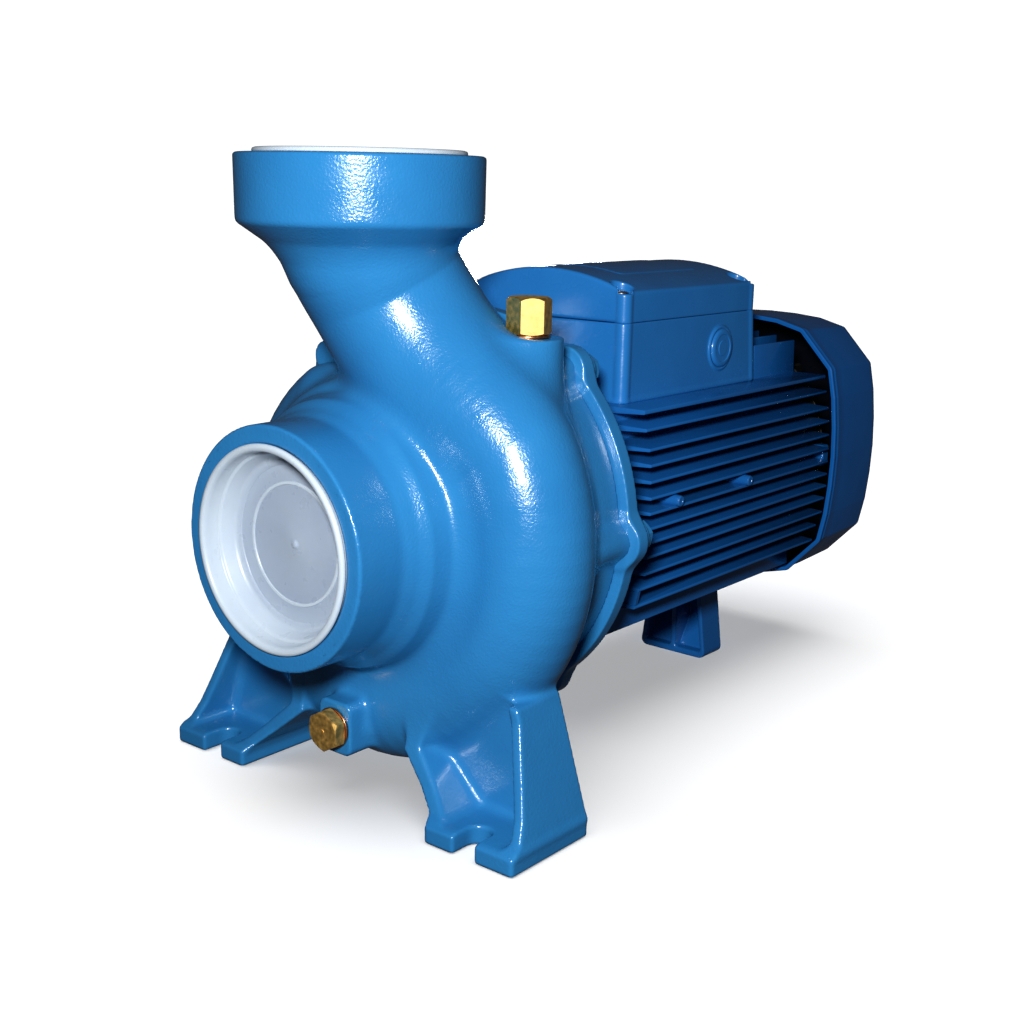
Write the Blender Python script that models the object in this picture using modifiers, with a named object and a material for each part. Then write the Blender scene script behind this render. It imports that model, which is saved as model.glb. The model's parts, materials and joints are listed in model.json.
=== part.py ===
"""Close-coupled centrifugal water pump: cast volute with integral feet, motor bracket and finned motor.

All dimensions are in millimetres and are turned into metres by MM. The shaft lies along Y, the suction
port faces -Y, and the discharge port faces +Z. X is zero on the shaft and Z is zero under the feet.
"""

import math

import bmesh
import bpy
from mathutils import Vector

MM = 0.001
GAP = 0.3
SHAFT_Z = 160.0
MID_Y = 227.7

# Ports, G 4: outside radius of the bosses and radius of the threaded sockets.
PORT_R = 68.0
SOCKET_R = 56.5
SUCTION_Y = -39.0
DISCHARGE_Y = 30.2
DISCHARGE_Z = 367.5
SOCKET_DEPTH = 24.0

# Volute: centre plane, inner radius, wall, and section radius against the angle round the shaft.
VOLUTE_Y = 58.0
VOLUTE_IN = 66.0
WALL = 7.5
VOLUTE_ANGLES = (-230, -180, -140, -90, -50, -10, 30)
VOLUTE_RADII = (20.6, 24.8, 33.5, 39.5, 36.2, 35.5, 35.5)
# Discharge neck: height, X, Y and radius down to the volute.
NECK = ((228, 68.0, 57.5, 40.0), (248, 39.5, 56.5, 45.0), (270, 20.7, 51.5, 43.8), (295, 6.5, 44.0, 44.4),
        (318, 2.0, 35.0, 48.5), (336, 0.0, 30.2, 55.0))

# Joint between casing and bracket.
JOINT_Y = 121.0
DRUM_R = 118.0
BOLT_CIRCLE = 114.0
BOLT_ANGLES = (51.0, -2.5, -57.0, 237.0, 182.5, 129.0)
EAR_R = 15.0
FLANGE_T = 8.0
EAR_T = 18.0
SPIGOT_R = 99.7

# Front feet of the casing.
FOOT_IN = 76.0
FOOT_OUT = 139.0
FOOT_L = 67.0
FOOT_T = 10.5
SLOT_X = 103.0
SLOT_W = 15.0
SLOT_END = 20.0

# Plugs, G 1/2.
PLUG_THREAD_R = 10.3
PLUG_AF = 22.0
FILLER_X = 78.0
FILLER_Y = 81.0
FILLER_Z = 272.0
DRAIN_Z = 45.5
DRAIN_Y = 6.0

# Motor.
FRAME_Y0 = 181.0
FRAME_Y1 = 419.0
BARREL_R = 68.0
BORE_R = 62.0
FIN_T = 3.2
FINS = ((208.6, 89.9), (196.7, 92.7), (187.0, 93.9), (176.8, 94.4), (166.6, 94.9), (157.0, 95.0), (147.5, 95.0),
        (138.5, 95.0), (129.0, 94.0), (118.2, 92.9), (107.2, 88.9), (95.4, 86.5))
DECK_Z = 221.0
DECK_X = 88.0
KEEL_Z = 73.3
KEEL_X = 66.7
ROD_AT = 49.5
ROD_R = 3.0

# Terminal box.
BOX_X = 65.0
BOX_Y0 = 192.0
BOX_Y1 = 351.0
BOX_SEAM = 270.5
LID_SIDE = 291.0
LID_CROWN = 300.0

# Fan cover.
COVER_Y0 = 420.0
COVER_Y1 = 497.0
COVER_T = 2.4

# Rear foot.
REAR_FOOT_Y0 = 366.0
REAR_FOOT_Y1 = 392.0
REAR_FOOT_X = 29.5
REAR_FOOT_TOP = 20.0

BLUE = (0.012, 0.115, 0.36)
BRASS = (0.62, 0.40, 0.13)
STEEL = (0.55, 0.55, 0.56)
BLACK = (0.02, 0.02, 0.02)
COPPER = (0.55, 0.20, 0.06)
WHITE = (0.80, 0.82, 0.85)

for old in list(bpy.data.objects):
    bpy.data.objects.remove(old, do_unlink=True)

scene = bpy.context.scene
PARTS = bpy.data.collections.new("centrifugal_water_pump")
CUTTERS = bpy.data.collections.new("cutters")
scene.collection.children.link(PARTS)
scene.collection.children.link(CUTTERS)
CUTTERS.hide_render = True

ORIGIN = bpy.data.objects.new("pump_origin", None)
PARTS.objects.link(ORIGIN)
ORIGIN.location = (0, -MID_Y * MM, 0)


def material(name, colour, rough, metal):
    made = bpy.data.materials.new(name)
    made.use_nodes = True
    shader = made.node_tree.nodes["Principled BSDF"]
    shader.inputs["Base Color"].default_value = (*colour, 1)
    shader.inputs["Roughness"].default_value = rough
    shader.inputs["Metallic"].default_value = metal
    return made


def place(obj, at=(0, 0, 0), turn=(0, 0, 0), keep=False):
    """Puts an object in the parts, or with the hidden shapes that cut and join them."""
    obj.location = [v * MM for v in at]
    obj.rotation_euler = [math.radians(v) for v in turn]
    obj.parent = ORIGIN
    if keep:
        PARTS.objects.link(obj)
    else:
        CUTTERS.objects.link(obj)
        obj.hide_render = True
        obj.display_type = "WIRE"
    return obj


def mesh_object(name, verts, edges, faces, smooth=False):
    mesh = bpy.data.meshes.new(name)
    mesh.from_pydata([[v * MM for v in vert] for vert in verts], edges, faces)
    mesh.update()
    if smooth:
        mesh.shade_smooth()
    return bpy.data.objects.new(name, mesh)


AXES = {"Z": (0, 0, 0), "Y": (-90, 0, 0), "X": (0, 90, 0)}


def turned(name, profile, steps=32, axis="Y", at=(0, 0, SHAFT_Z), keep=False):
    """A turned shape. The profile is (radius, height) pairs down its outer side, then back up inside."""
    verts = [(r, 0, h) for r, h in profile]
    edges = [(i, i + 1) for i in range(len(verts) - 1)]
    if profile[0][0] > 0:
        edges.append((len(verts) - 1, 0))
    obj = mesh_object(name, verts, edges, [])
    screw = obj.modifiers.new("Turn", "SCREW")
    screw.steps = steps
    screw.render_steps = steps
    screw.use_merge_vertices = True
    screw.merge_threshold = 0.00001
    screw.use_smooth_shade = True
    return place(obj, at, AXES[axis], keep)


def rod(name, radius, h0, h1, steps=16, axis="Y", at=(0, 0, 0), keep=False):
    return turned(name, [(0, h1), (radius, h1), (radius, h0), (0, h0)], steps, axis, at, keep)


def prism(name, outline, h0, h1, axis="Z", at=(0, 0, 0), turn=None, keep=False):
    """A straight prism: the outline runs anticlockwise seen from its top."""
    n = len(outline)
    verts = [(x, y, h0) for x, y in outline] + [(x, y, h1) for x, y in outline]
    faces = [tuple(reversed(range(n))), tuple(range(n, 2 * n))]
    for i in range(n):
        j = (i + 1) % n
        faces.append((i, j, n + j, n + i))
    obj = mesh_object(name, verts, [], faces)
    return place(obj, at, AXES[axis] if turn is None else turn, keep)


def box(name, low, high, keep=False):
    (x0, y0, z0), (x1, y1, z1) = low, high
    return prism(name, [(x0, y0), (x1, y0), (x1, y1), (x0, y1)], z0, z1, keep=keep)


def hexagon(across_flats, turn=0.0):
    r = across_flats / math.sqrt(3)
    return [(r * math.cos(math.radians(60 * i + turn)), r * math.sin(math.radians(60 * i + turn))) for i in range(6)]


def rounded(x0, y0, x1, y1, r, n=4):
    """A rectangle with rounded corners, anticlockwise."""
    points = []
    for cx, cy, a in ((x1 - r, y0 + r, -90), (x1 - r, y1 - r, 0), (x0 + r, y1 - r, 90), (x0 + r, y0 + r, 180)):
        for i in range(n + 1):
            t = math.radians(a + 90 * i / n)
            points.append((cx + r * math.cos(t), cy + r * math.sin(t)))
    return points


def frustum(name, low, high, h0, h1, keep=False):
    """A solid between two outlines with the same number of points."""
    n = len(low)
    verts = [(x, y, h0) for x, y in low] + [(x, y, h1) for x, y in high]
    faces = [tuple(reversed(range(n))), tuple(range(n, 2 * n))]
    for i in range(n):
        j = (i + 1) % n
        faces.append((i, j, n + j, n + i))
    return place(mesh_object(name, verts, [], faces), keep=keep)


def boolean(obj, other, operation):
    made = obj.modifiers.new(operation.title() + "_" + other.name, "BOOLEAN")
    made.operation = operation
    made.solver = "EXACT"
    made.object = other


def join(obj, *others):
    for other in others:
        boolean(obj, other, "UNION")


def cut(obj, *others):
    for other in others:
        boolean(obj, other, "DIFFERENCE")


def colour(obj, rgb, rough, metal):
    obj.data.materials.append(material(obj.name + "_finish", rgb, rough, metal))
    return obj


def tube(name, points, radii, sides):
    """A mesh swept along a line of points, made from a curve with a bevel."""
    curve = bpy.data.curves.new(name, "CURVE")
    curve.dimensions = "3D"
    curve.bevel_depth = MM
    curve.bevel_resolution = sides
    curve.use_fill_caps = True
    curve.resolution_u = 1
    spline = curve.splines.new("POLY")
    spline.points.add(len(points) - 1)
    for point, co, radius in zip(spline.points, points, radii):
        point.co = (co[0] * MM, co[1] * MM, co[2] * MM, 1)
        point.radius = radius
    guide = bpy.data.objects.new(name + "_line", curve)
    CUTTERS.objects.link(guide)
    guide.hide_render = True
    bpy.context.view_layer.update()
    graph = bpy.context.evaluated_depsgraph_get()
    mesh = bpy.data.meshes.new_from_object(guide.evaluated_get(graph))
    mesh.name = name
    bm = bmesh.new()
    bm.from_mesh(mesh)
    bmesh.ops.remove_doubles(bm, verts=bm.verts, dist=0.00001)
    bmesh.ops.recalc_face_normals(bm, faces=bm.faces)
    bm.to_mesh(mesh)
    bm.free()
    bpy.data.objects.remove(guide, do_unlink=True)
    mesh.shade_smooth()
    return place(bpy.data.objects.new(name, mesh))


def between(x, xs, ys):
    for i in range(len(xs) - 1):
        if x <= xs[i + 1]:
            t = (x - xs[i]) / (xs[i + 1] - xs[i])
            return ys[i] + t * (ys[i + 1] - ys[i])
    return ys[-1]


def volute_line(shrink):
    """Centre points and radii of the volute and neck, thinner by shrink."""
    points = []
    radii = []
    for i in range(17):
        angle = VOLUTE_ANGLES[0] + i * (VOLUTE_ANGLES[-1] - VOLUTE_ANGLES[0]) / 16
        r = between(angle, VOLUTE_ANGLES, VOLUTE_RADII)
        t = math.radians(angle)
        points.append(((VOLUTE_IN + r) * math.cos(t), VOLUTE_Y, SHAFT_Z + (VOLUTE_IN + r) * math.sin(t)))
        radii.append(r - shrink)
    for z, x, y, r in NECK:
        points.append((x, y, z))
        radii.append(r - shrink)
    return points, radii


# ---------------------------------------------------------------- pump casing
casing = turned("volute_casing", [
    (0, JOINT_Y), (DRUM_R, JOINT_Y), (DRUM_R, 86), (112, 80), (96, 74), (88, 30), (82, 22), (78.5, 12), (74, 4),
    (69.5, -5), (PORT_R - 0.2, SUCTION_Y + 0.8), (PORT_R - 1.0, SUCTION_Y), (0, SUCTION_Y),
], 28, keep=True)
points, radii = volute_line(0)
outer_tube = tube("volute_outer", points, radii, 5)
points, radii = volute_line(WALL)
inner_tube = tube("volute_inner", points, radii, 3)
discharge_port = turned("discharge_port", [
    (0, DISCHARGE_Z), (PORT_R - 1.0, DISCHARGE_Z), (PORT_R - 0.2, DISCHARGE_Z - 0.8), (PORT_R - 0.6, 333),
    (57, 324), (49.5, 315), (0, 315),
], 28, "Z", (0, DISCHARGE_Y, 0))
join(casing, outer_tube, discharge_port)

for i, angle in enumerate(BOLT_ANGLES):
    t = math.radians(angle)
    at = (BOLT_CIRCLE * math.cos(t), 0, SHAFT_Z + BOLT_CIRCLE * math.sin(t))
    join(casing, rod(f"casing_ear_{i}", EAR_R, 84, JOINT_Y, 12, at=at))

filler_boss = turned("filler_boss", [(0, FILLER_Z), (18.5, FILLER_Z), (19.5, 255), (20, 205), (0, 205)], 16, "Z",
                     (FILLER_X, FILLER_Y, 0))
filler_web = prism("filler_web", [(30, 196), (88, 196), (88, 271.5), (44, 271.5), (30, 255)], -90, -62, turn=(90, 0, 0))
drain_pad = prism("drain_pad", rounded(-13, -16, 13, 16, 5, 2), DRAIN_Y, 50, "Y", (0, 0, DRAIN_Z))
join(casing, filler_boss, filler_web, drain_pad)


def foot_outline(side, inset):
    """A front foot seen from the front, between its inner and outer webs."""
    top = 78.0
    lean = 0.32
    base = 0 if inset == 0 else FOOT_T
    outer_top = FOOT_OUT - lean * (top - FOOT_T) - inset
    outline = [
        (FOOT_IN + inset * 1.4, base), (FOOT_OUT - inset, base), (FOOT_OUT - inset, FOOT_T), (outer_top, top),
        (60, top), (44 + inset * 1.4, 42.5), (FOOT_IN + inset * 1.4, FOOT_T),
    ]
    if inset:
        outline = [
            (FOOT_IN + inset * 1.4, FOOT_T), (FOOT_OUT - inset, FOOT_T), (outer_top, top), (60, top),
            (44 + inset * 1.4, 42.5),
        ]
    outline = [(side * x, z) for x, z in outline]
    return outline if side > 0 else list(reversed(outline))


for side, tag in ((1, "right"), (-1, "left")):
    foot = prism(f"foot_{tag}", foot_outline(side, 0), -FOOT_L, 0, turn=(90, 0, 0))
    join(casing, foot)
for side, tag in ((1, "right"), (-1, "left")):
    pocket = prism(f"foot_pocket_{tag}", foot_outline(side, 7.0), -40, 20, turn=(90, 0, 0))
    shade = prism(f"foot_slope_{tag}", [(-5, FOOT_T), (6, FOOT_T), (17, 23), (25, 66), (-5, 66)], 30, 150,
                  turn=(90, 0, 90))
    if side < 0:
        shade.location.x = -180 * MM
    rear = prism(f"foot_rear_{tag}", foot_outline(side, 7.0), -90, -48, turn=(90, 0, 0))
    # The slope and the pockets stop short of the volute, so they cut the foot alone.
    for other in (pocket, shade, rear):
        cut(other, outer_tube)
        cut(casing, other)
    slot = prism(f"foot_slot_{tag}", [(SLOT_W / 2, -9)] + [
        (SLOT_W / 2 * math.cos(math.pi * k / 8), SLOT_END - SLOT_W / 2 + SLOT_W / 2 * math.sin(math.pi * k / 8))
        for k in range(0, 9, 2)] + [(-SLOT_W / 2, -9)], -5, 30, at=(side * SLOT_X, 0, 0))
    cut(casing, slot)

waterway = turned("waterway", [
    (0, 140), (SPIGOT_R + GAP, 140), (SPIGOT_R + GAP, 84), (86, 84), (86, 32), (46, 30), (46, 16),
    (53, SUCTION_Y + SOCKET_DEPTH), (SOCKET_R, SUCTION_Y + SOCKET_DEPTH), (SOCKET_R, SUCTION_Y + 2),
    (SOCKET_R + 2, SUCTION_Y), (SOCKET_R + 2, SUCTION_Y - 5), (0, SUCTION_Y - 5),
], 28)
discharge_bore = turned("discharge_bore", [
    (0, DISCHARGE_Z + 5), (SOCKET_R + 2, DISCHARGE_Z + 5), (SOCKET_R + 2, DISCHARGE_Z), (SOCKET_R, DISCHARGE_Z - 2),
    (SOCKET_R, DISCHARGE_Z - SOCKET_DEPTH), (50, DISCHARGE_Z - SOCKET_DEPTH), (49, 332), (40, 314),
    (0, 314),
], 28, "Z", (0, DISCHARGE_Y, 0))
cut(casing, waterway, inner_tube, discharge_bore)
cut(casing, rod("filler_bore", PLUG_THREAD_R + GAP, 200, FILLER_Z + 5, 12, "Z", (FILLER_X, FILLER_Y, 0)))
cut(casing, rod("filler_spotface", 14.0, FILLER_Z, 305, 12, "Z", (FILLER_X, FILLER_Y, 0)))
cut(casing, rod("drain_bore", PLUG_THREAD_R + GAP, -5, 52, 12, "Y", (0, 0, DRAIN_Z)))
for i, angle in enumerate(BOLT_ANGLES):
    t = math.radians(angle)
    at = (BOLT_CIRCLE * math.cos(t), 0, SHAFT_Z + BOLT_CIRCLE * math.sin(t))
    cut(casing, rod(f"casing_thread_{i}", 5.0, 96, JOINT_Y + 5, 8, at=at))
colour(casing, BLUE, 0.3, 0.0)


def cap(name, at, axis, flip):
    """A thin moulded dish that plugs a threaded port until the pipe is fitted."""
    out = [(0, 17.4), (51.5, 17.4), (54.2, -2.6), (58.0, -2.6), (58.0, -0.4), (56.0, 1.6), (55.6, 19), (0, 19)]
    profile = [(r, -h) if flip else (r, h) for r, h in out]
    if not flip:
        profile = list(reversed(profile))
    made = turned(name, profile, 28, axis, at, keep=True)
    return colour(made, WHITE, 0.35, 0.0)


cap("suction_port_cap", (0, SUCTION_Y, SHAFT_Z), "Y", False)
cap("discharge_port_cap", (0, DISCHARGE_Y, DISCHARGE_Z), "Z", True)


def plug(name, head, at, turn, spin):
    """A hexagon plug; its head stands on +Z of the plug and its thread below."""
    made = prism(name, hexagon(PLUG_AF, spin), 1.5 + GAP, head, at=at, turn=turn, keep=True)
    chamfer = turned(name + "_chamfer", [(0, head + 1), (10.6, head + 1), (10.6, head), (12.8, head - 1.6),
                     (12.8, 0), (0, 0)], 12, "Z", at)
    chamfer.rotation_euler = made.rotation_euler
    boolean(made, chamfer, "INTERSECT")
    thread = rod(name + "_thread", PLUG_THREAD_R - 0.1, -13, 3, 12, "Z", at)
    thread.rotation_euler = made.rotation_euler
    join(made, thread)
    return colour(made, BRASS, 0.3, 1.0)


def washer(name, inner, outer, h0, h1, at, turn, rgb, rough, metal):
    made = turned(name, [(outer, h1), (outer, h0), (inner, h0), (inner, h1)], 16, "Z", at, keep=True)
    made.rotation_euler = [math.radians(v) for v in turn]
    return colour(made, rgb, rough, metal)


plug("filler_plug", 22.0, (FILLER_X, FILLER_Y, FILLER_Z), (0, 0, 0), -8)
washer("filler_plug_washer", PLUG_THREAD_R + GAP, 12.0, GAP, 1.5, (FILLER_X, FILLER_Y, FILLER_Z), (0, 0, 0), COPPER,
       0.35, 1.0)
plug("drain_plug", 9.5, (0, DRAIN_Y, DRAIN_Z), (90, 0, 0), 30)
washer("drain_plug_washer", PLUG_THREAD_R + GAP, 12.0, GAP, 1.5, (0, DRAIN_Y, DRAIN_Z), (90, 0, 0), COPPER, 0.35, 1.0)

# ---------------------------------------------------------------- impeller and shaft seal
impeller = turned("impeller", [
    (0, 84), (18, 84), (18, 80), (78, 80), (78, 75), (24, 74), (16, 60.5), (0, 60.5),
], 18, keep=True)
shroud = turned("impeller_shroud", [
    (78, 48), (78, 43), (58, 40), (45.2, 33), (45.2, 19), (40.5, 19), (40.5, 36), (54, 45),
], 18)
blades = []
for k in range(6):
    line = []
    for j in range(5):
        r = 30 + 46.5 * j / 4
        a = math.radians(60 * k + 95 * (j / 4) ** 0.9)
        line.append((r, a))
    inside = [((r - 0.1) * math.cos(a - 2.2 / r), (r - 0.1) * math.sin(a - 2.2 / r)) for r, a in line]
    outside = [(r * math.cos(a + 2.2 / r), r * math.sin(a + 2.2 / r)) for r, a in reversed(line)]
    blades.append(prism(f"impeller_blade_{k}", inside + outside, 41.5, 77, "Y", (0, 0, SHAFT_Z)))
bore = rod("impeller_bore", 9.4, 50, 90, 12, at=(0, 0, SHAFT_Z))
key_slot = box("impeller_key_slot", (-3.3, 62, SHAFT_Z + 4), (3.3, 84.5, SHAFT_Z + 12.3))
join(impeller, shroud)
for blade in blades:
    join(impeller, blade)
cut(impeller, bore, key_slot)
colour(impeller, (0.50, 0.34, 0.14), 0.4, 0.9)

shaft = turned("motor_shaft", [
    (0, 464), (9, 464), (10, 463), (10, 434), (12.5, 434), (12.5, 409), (16, 409), (19, 400), (19, 184), (17, 184),
    (17, 179), (15, 179), (15, 156), (12, 156), (12, 118), (11, 118), (11, 84.6), (9, 84.6), (9, 60.6), (7, 60.6),
    (7, 43.8), (6, 42.5), (0, 42.5),
], 12, keep=True)
shaft_slot = box("shaft_key_slot", (-3.3, 62, SHAFT_Z + 5.4), (3.3, 84.5, SHAFT_Z + 13))
fan_flat = box("shaft_fan_flat", (-12, 440, SHAFT_Z + 8), (12, 470, SHAFT_Z + 14))
cut(shaft, shaft_slot, fan_flat)
colour(shaft, STEEL, 0.3, 1.0)
key = box("impeller_key", (-3, 62.4, SHAFT_Z + 5.8), (3, 84.0, SHAFT_Z + 11.9), keep=True)
colour(key, STEEL, 0.35, 1.0)
nut_washer = turned("impeller_washer", [(13, 60.1), (13, 57.8), (7.4, 57.8), (7.4, 60.1)], 12, keep=True)
colour(nut_washer, STEEL, 0.35, 1.0)
nut = prism("impeller_nut", hexagon(21), 46.5, 57.5, "Y", (0, 0, SHAFT_Z), keep=True)
cut(nut, rod("impeller_nut_bore", 7.4, 40, 62, 12, at=(0, 0, SHAFT_Z)))
colour(nut, STEEL, 0.35, 1.0)
seal_head = turned("seal_rotating_head", [(14.5, 97.5), (14.5, 94), (17, 94), (17, 84.9), (11.3, 84.9),
                                          (11.3, 97.5)], 12, keep=True)
colour(seal_head, (0.25, 0.25, 0.26), 0.35, 0.6)
seal_seat = turned("seal_stationary_seat", [(18.6, 107.3), (18.6, 97.8), (12.6, 97.8), (12.6, 107.3)], 12, keep=True)
colour(seal_seat, (0.75, 0.73, 0.68), 0.3, 0.0)

# ---------------------------------------------------------------- bracket
bracket = turned("motor_bracket", [
    (61.5, 187), (61.5, FRAME_Y0 - GAP), (73, FRAME_Y0 - GAP), (73, 172), (83, 136), (89, 129),
    (118.5, 129), (118.5, JOINT_Y + GAP), (SPIGOT_R, JOINT_Y + GAP), (SPIGOT_R, 110), (96.6, 110), (96.6, 105.4),
    (SPIGOT_R, 105.4), (SPIGOT_R, 86.5), (19, 86.5), (19, 107.6), (13, 107.6), (13, 112),
    (32, 112), (36, 97), (86, 97), (86, 116), (66, 158), (25, 158), (25, 161.7), (31.3, 161.7),
    (31.3, 179), (55, 187),
], 28, keep=True)
for i, angle in enumerate(BOLT_ANGLES):
    t = math.radians(angle)
    at = (BOLT_CIRCLE * math.cos(t), 0, SHAFT_Z + BOLT_CIRCLE * math.sin(t))
    join(bracket, rod(f"bracket_ear_{i}", EAR_R, JOINT_Y + GAP + 0.1, JOINT_Y + EAR_T, 12, at=at))
for i in range(4):
    x = ROD_AT * (1, 1, -1, -1)[i]
    z = SHAFT_Z + ROD_AT * (1, -1, 1, -1)[i]
    join(bracket, rod(f"bracket_lug_{i}", 8, 160, FRAME_Y0 - GAP - 0.1, 8, at=(x, 0, z)))
    cut(bracket, rod(f"bracket_lug_hole_{i}", ROD_R + GAP, 166, 200, 8, at=(x, 0, z)))
for i, angle in enumerate(BOLT_ANGLES):
    t = math.radians(angle)
    at = (BOLT_CIRCLE * math.cos(t), 0, SHAFT_Z + BOLT_CIRCLE * math.sin(t))
    cut(bracket, rod(f"bracket_bolt_hole_{i}", 5.5, 117, 150, 8, at=at))
cut(bracket, box("bracket_weep", (-9, 136, 70), (9, 152, 130)))
colour(bracket, BLUE, 0.3, 0.0)

oring = turned("casing_o_ring", [(98.4, 109.7), (99.7, 107.7), (98.4, 105.7), (97.0, 107.7)], 28, keep=True)
colour(oring, BLACK, 0.6, 0.0)

for i, angle in enumerate(BOLT_ANGLES):
    t = math.radians(angle)
    at = (BOLT_CIRCLE * math.cos(t), 0, SHAFT_Z + BOLT_CIRCLE * math.sin(t))
    bolt = prism(f"casing_bolt_{i + 1}", hexagon(16, 30), 139.3, 145.7, "Y", at, keep=True)
    join(bolt, rod(f"casing_bolt_shank_{i}", 4.7, 98, 141, 8, at=at))
    colour(bolt, BLUE, 0.3, 0.0)

slinger = turned("water_slinger", [(20, 134), (20, 131), (16, 131), (12.4, 126), (12.4, 134)], 12, keep=True)
colour(slinger, BLACK, 0.6, 0.0)

# ---------------------------------------------------------------- bearings


def bearing(prefix, bore, outside, y0, y1):
    """A ball bearing as three pieces: outer ring, inner ring, and the balls held in their cage."""
    mid = (y0 + y1) / 2
    pitch = (bore + outside) / 2
    third = (outside - bore) / 3
    ball = third * 0.62
    outer = turned(prefix + "_outer_ring", [(outside, y1), (outside, y0), (outside - third * 0.8, y0),
                   (outside - third * 0.8, y1)],
                   20, keep=True)
    colour(outer, STEEL, 0.2, 1.0)
    inner = turned(prefix + "_inner_ring", [(bore + third * 0.8, y1), (bore + third * 0.8, y0), (bore, y0),
                   (bore, y1)], 12, keep=True)
    colour(inner, STEEL, 0.2, 1.0)
    cage = turned(prefix + "_balls", [(pitch + 1.2, mid + 3.4), (pitch + 1.2, mid - 3.4), (pitch - 1.2, mid - 3.4),
                  (pitch - 1.2, mid + 3.4)], 16, keep=True)
    for k in range(8):
        a = math.radians(45 * k)
        at = (pitch * math.cos(a), mid, SHAFT_Z + pitch * math.sin(a))
        arc = [(ball * math.sin(math.pi * s / 4), ball * math.cos(math.pi * s / 4)) for s in range(5)]
        arc[0] = (0, ball)
        arc[-1] = (0, -ball)
        join(cage, turned(f"{prefix}_ball_{k}", arc, 5, "Y", at))
    colour(cage, STEEL, 0.15, 1.0)


bearing("front_bearing", 15.6, 30.6, 162.0, 178.0)
bearing("rear_bearing", 13.1, 25.6, 411.0, 426.0)

# ---------------------------------------------------------------- motor
rotor = turned("rotor_core", [(33, 378), (33, 366), (36, 366), (36, 236), (33, 236), (33, 224), (19.6, 224),
                              (19.6, 378)], 12, keep=True)
colour(rotor, (0.35, 0.35, 0.37), 0.4, 0.9)
stator = turned("stator_core", [(61.2, 372), (61.2, 230), (37.8, 230), (37.8, 372)], 20, keep=True)
winding = turned("stator_winding", [(57, 396), (59, 372.3), (42, 372.3), (44, 396)], 16, keep=True)
front_turns = turned("front_turns", [(59, 229.7), (57, 206), (44, 206), (42, 229.7)], 16)
join(winding, front_turns)
for k in range(12):
    a = math.radians(30 * k + 15)
    at = (49.5 * math.cos(a), 0, SHAFT_Z + 49.5 * math.sin(a))
    cut(stator, rod(f"stator_slot_{k}", 5.3, 220, 380, 6, at=at))
    join(winding, rod(f"slot_copper_{k}", 4.8, 215, 385, 6, at=at))
colour(stator, (0.30, 0.30, 0.32), 0.5, 0.8)
colour(winding, COPPER, 0.4, 0.8)

frame = rod("motor_frame", BARREL_R, FRAME_Y0, FRAME_Y1, 24, at=(0, 0, SHAFT_Z), keep=True)
deck = box("frame_deck", (-DECK_X, FRAME_Y0, DECK_Z - 3.6), (DECK_X, FRAME_Y1, DECK_Z))
keel = box("frame_keel", (-KEEL_X, FRAME_Y0, KEEL_Z), (KEEL_X, FRAME_Y1, 88))
core = prism("frame_core", [(-64, 87), (-40, 84), (40, 84), (64, 87), (64, 214), (40, 219), (-40, 219), (-64, 214)],
             -FRAME_Y1, -FRAME_Y0, turn=(90, 0, 0))
join(frame, deck, keel, core)
for z, x in FINS:
    join(frame, box(f"frame_fin_{z:.0f}", (-x, FRAME_Y0, z - FIN_T / 2), (x, FRAME_Y1 - 0.5, z + FIN_T / 2)))
for k in range(-4, 5):
    x = 15 * k
    top = 250.5 - 6 * (k / 4) ** 2
    join(frame, box(f"frame_top_fin_{k + 4}", (x - 1.6, 355, DECK_Z - 3), (x + 1.6, FRAME_Y1 - 1, top)))
for side in (1, -1):
    for y, z in ((214, 161.0), (300, 161.0)):
        pin = rod(f"frame_pin_{side}_{y}", 3.4, 60, 98, 10, "X", (0, y, z))
        if side < 0:
            pin.rotation_euler = (0, math.radians(-90), 0)
        join(frame, pin)
cut(frame, rod("frame_bore", BORE_R, FRAME_Y0 - 5, FRAME_Y1 + 5, 28, at=(0, 0, SHAFT_Z)))
for i in range(4):
    x = ROD_AT * (1, 1, -1, -1)[i]
    z = SHAFT_Z + ROD_AT * (1, -1, 1, -1)[i]
    cut(frame, rod(f"frame_rod_hole_{i}", ROD_R + GAP, FRAME_Y0 - 5, FRAME_Y1 + 5, 8, at=(x, 0, z)))
cut(frame, box("keel_channel_front", (-60, FRAME_Y0 - 5, KEEL_Z - 5), (60, REAR_FOOT_Y0 - 8, 83.5)))
cut(frame, rod("frame_wire_hole", 9, 200, 235, 12, "Z", (0, 270, 0)))
for side in (-1, 1):
    cut(frame, rod(f"frame_foot_hole_{side}", 3.3, 60, 84, 12, "Z", (side * 11, 379, 0)))
colour(frame, BLUE, 0.3, 0.0)

shield = turned("rear_end_shield", [
    (71, 431), (74, 428), (74, 419.3), (61.2, 419.3), (61.2, 411), (56, 411), (53, 417), (36, 417), (31, 407),
    (17, 407), (17, 410), (26.3, 410), (26.3, 431),
], 20, keep=True)
for i in range(4):
    x = ROD_AT * (1, 1, -1, -1)[i]
    z = SHAFT_Z + ROD_AT * (1, -1, 1, -1)[i]
    join(shield, rod(f"shield_lug_{i}", 9, 419.4, 430.9, 8, at=(x, 0, z)))
    lug = box(f"shield_pad_{i}", (-8, 421, 66), (8, 430, 89.5))
    lug.location.z = SHAFT_Z * MM
    lug.rotation_euler = (0, math.radians(90 * i), 0)
    join(shield, lug)
    cut(shield, rod(f"shield_rod_hole_{i}", ROD_R + GAP, 400, 440, 8, at=(x, 0, z)))
colour(shield, (0.55, 0.56, 0.58), 0.45, 0.9)
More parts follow.
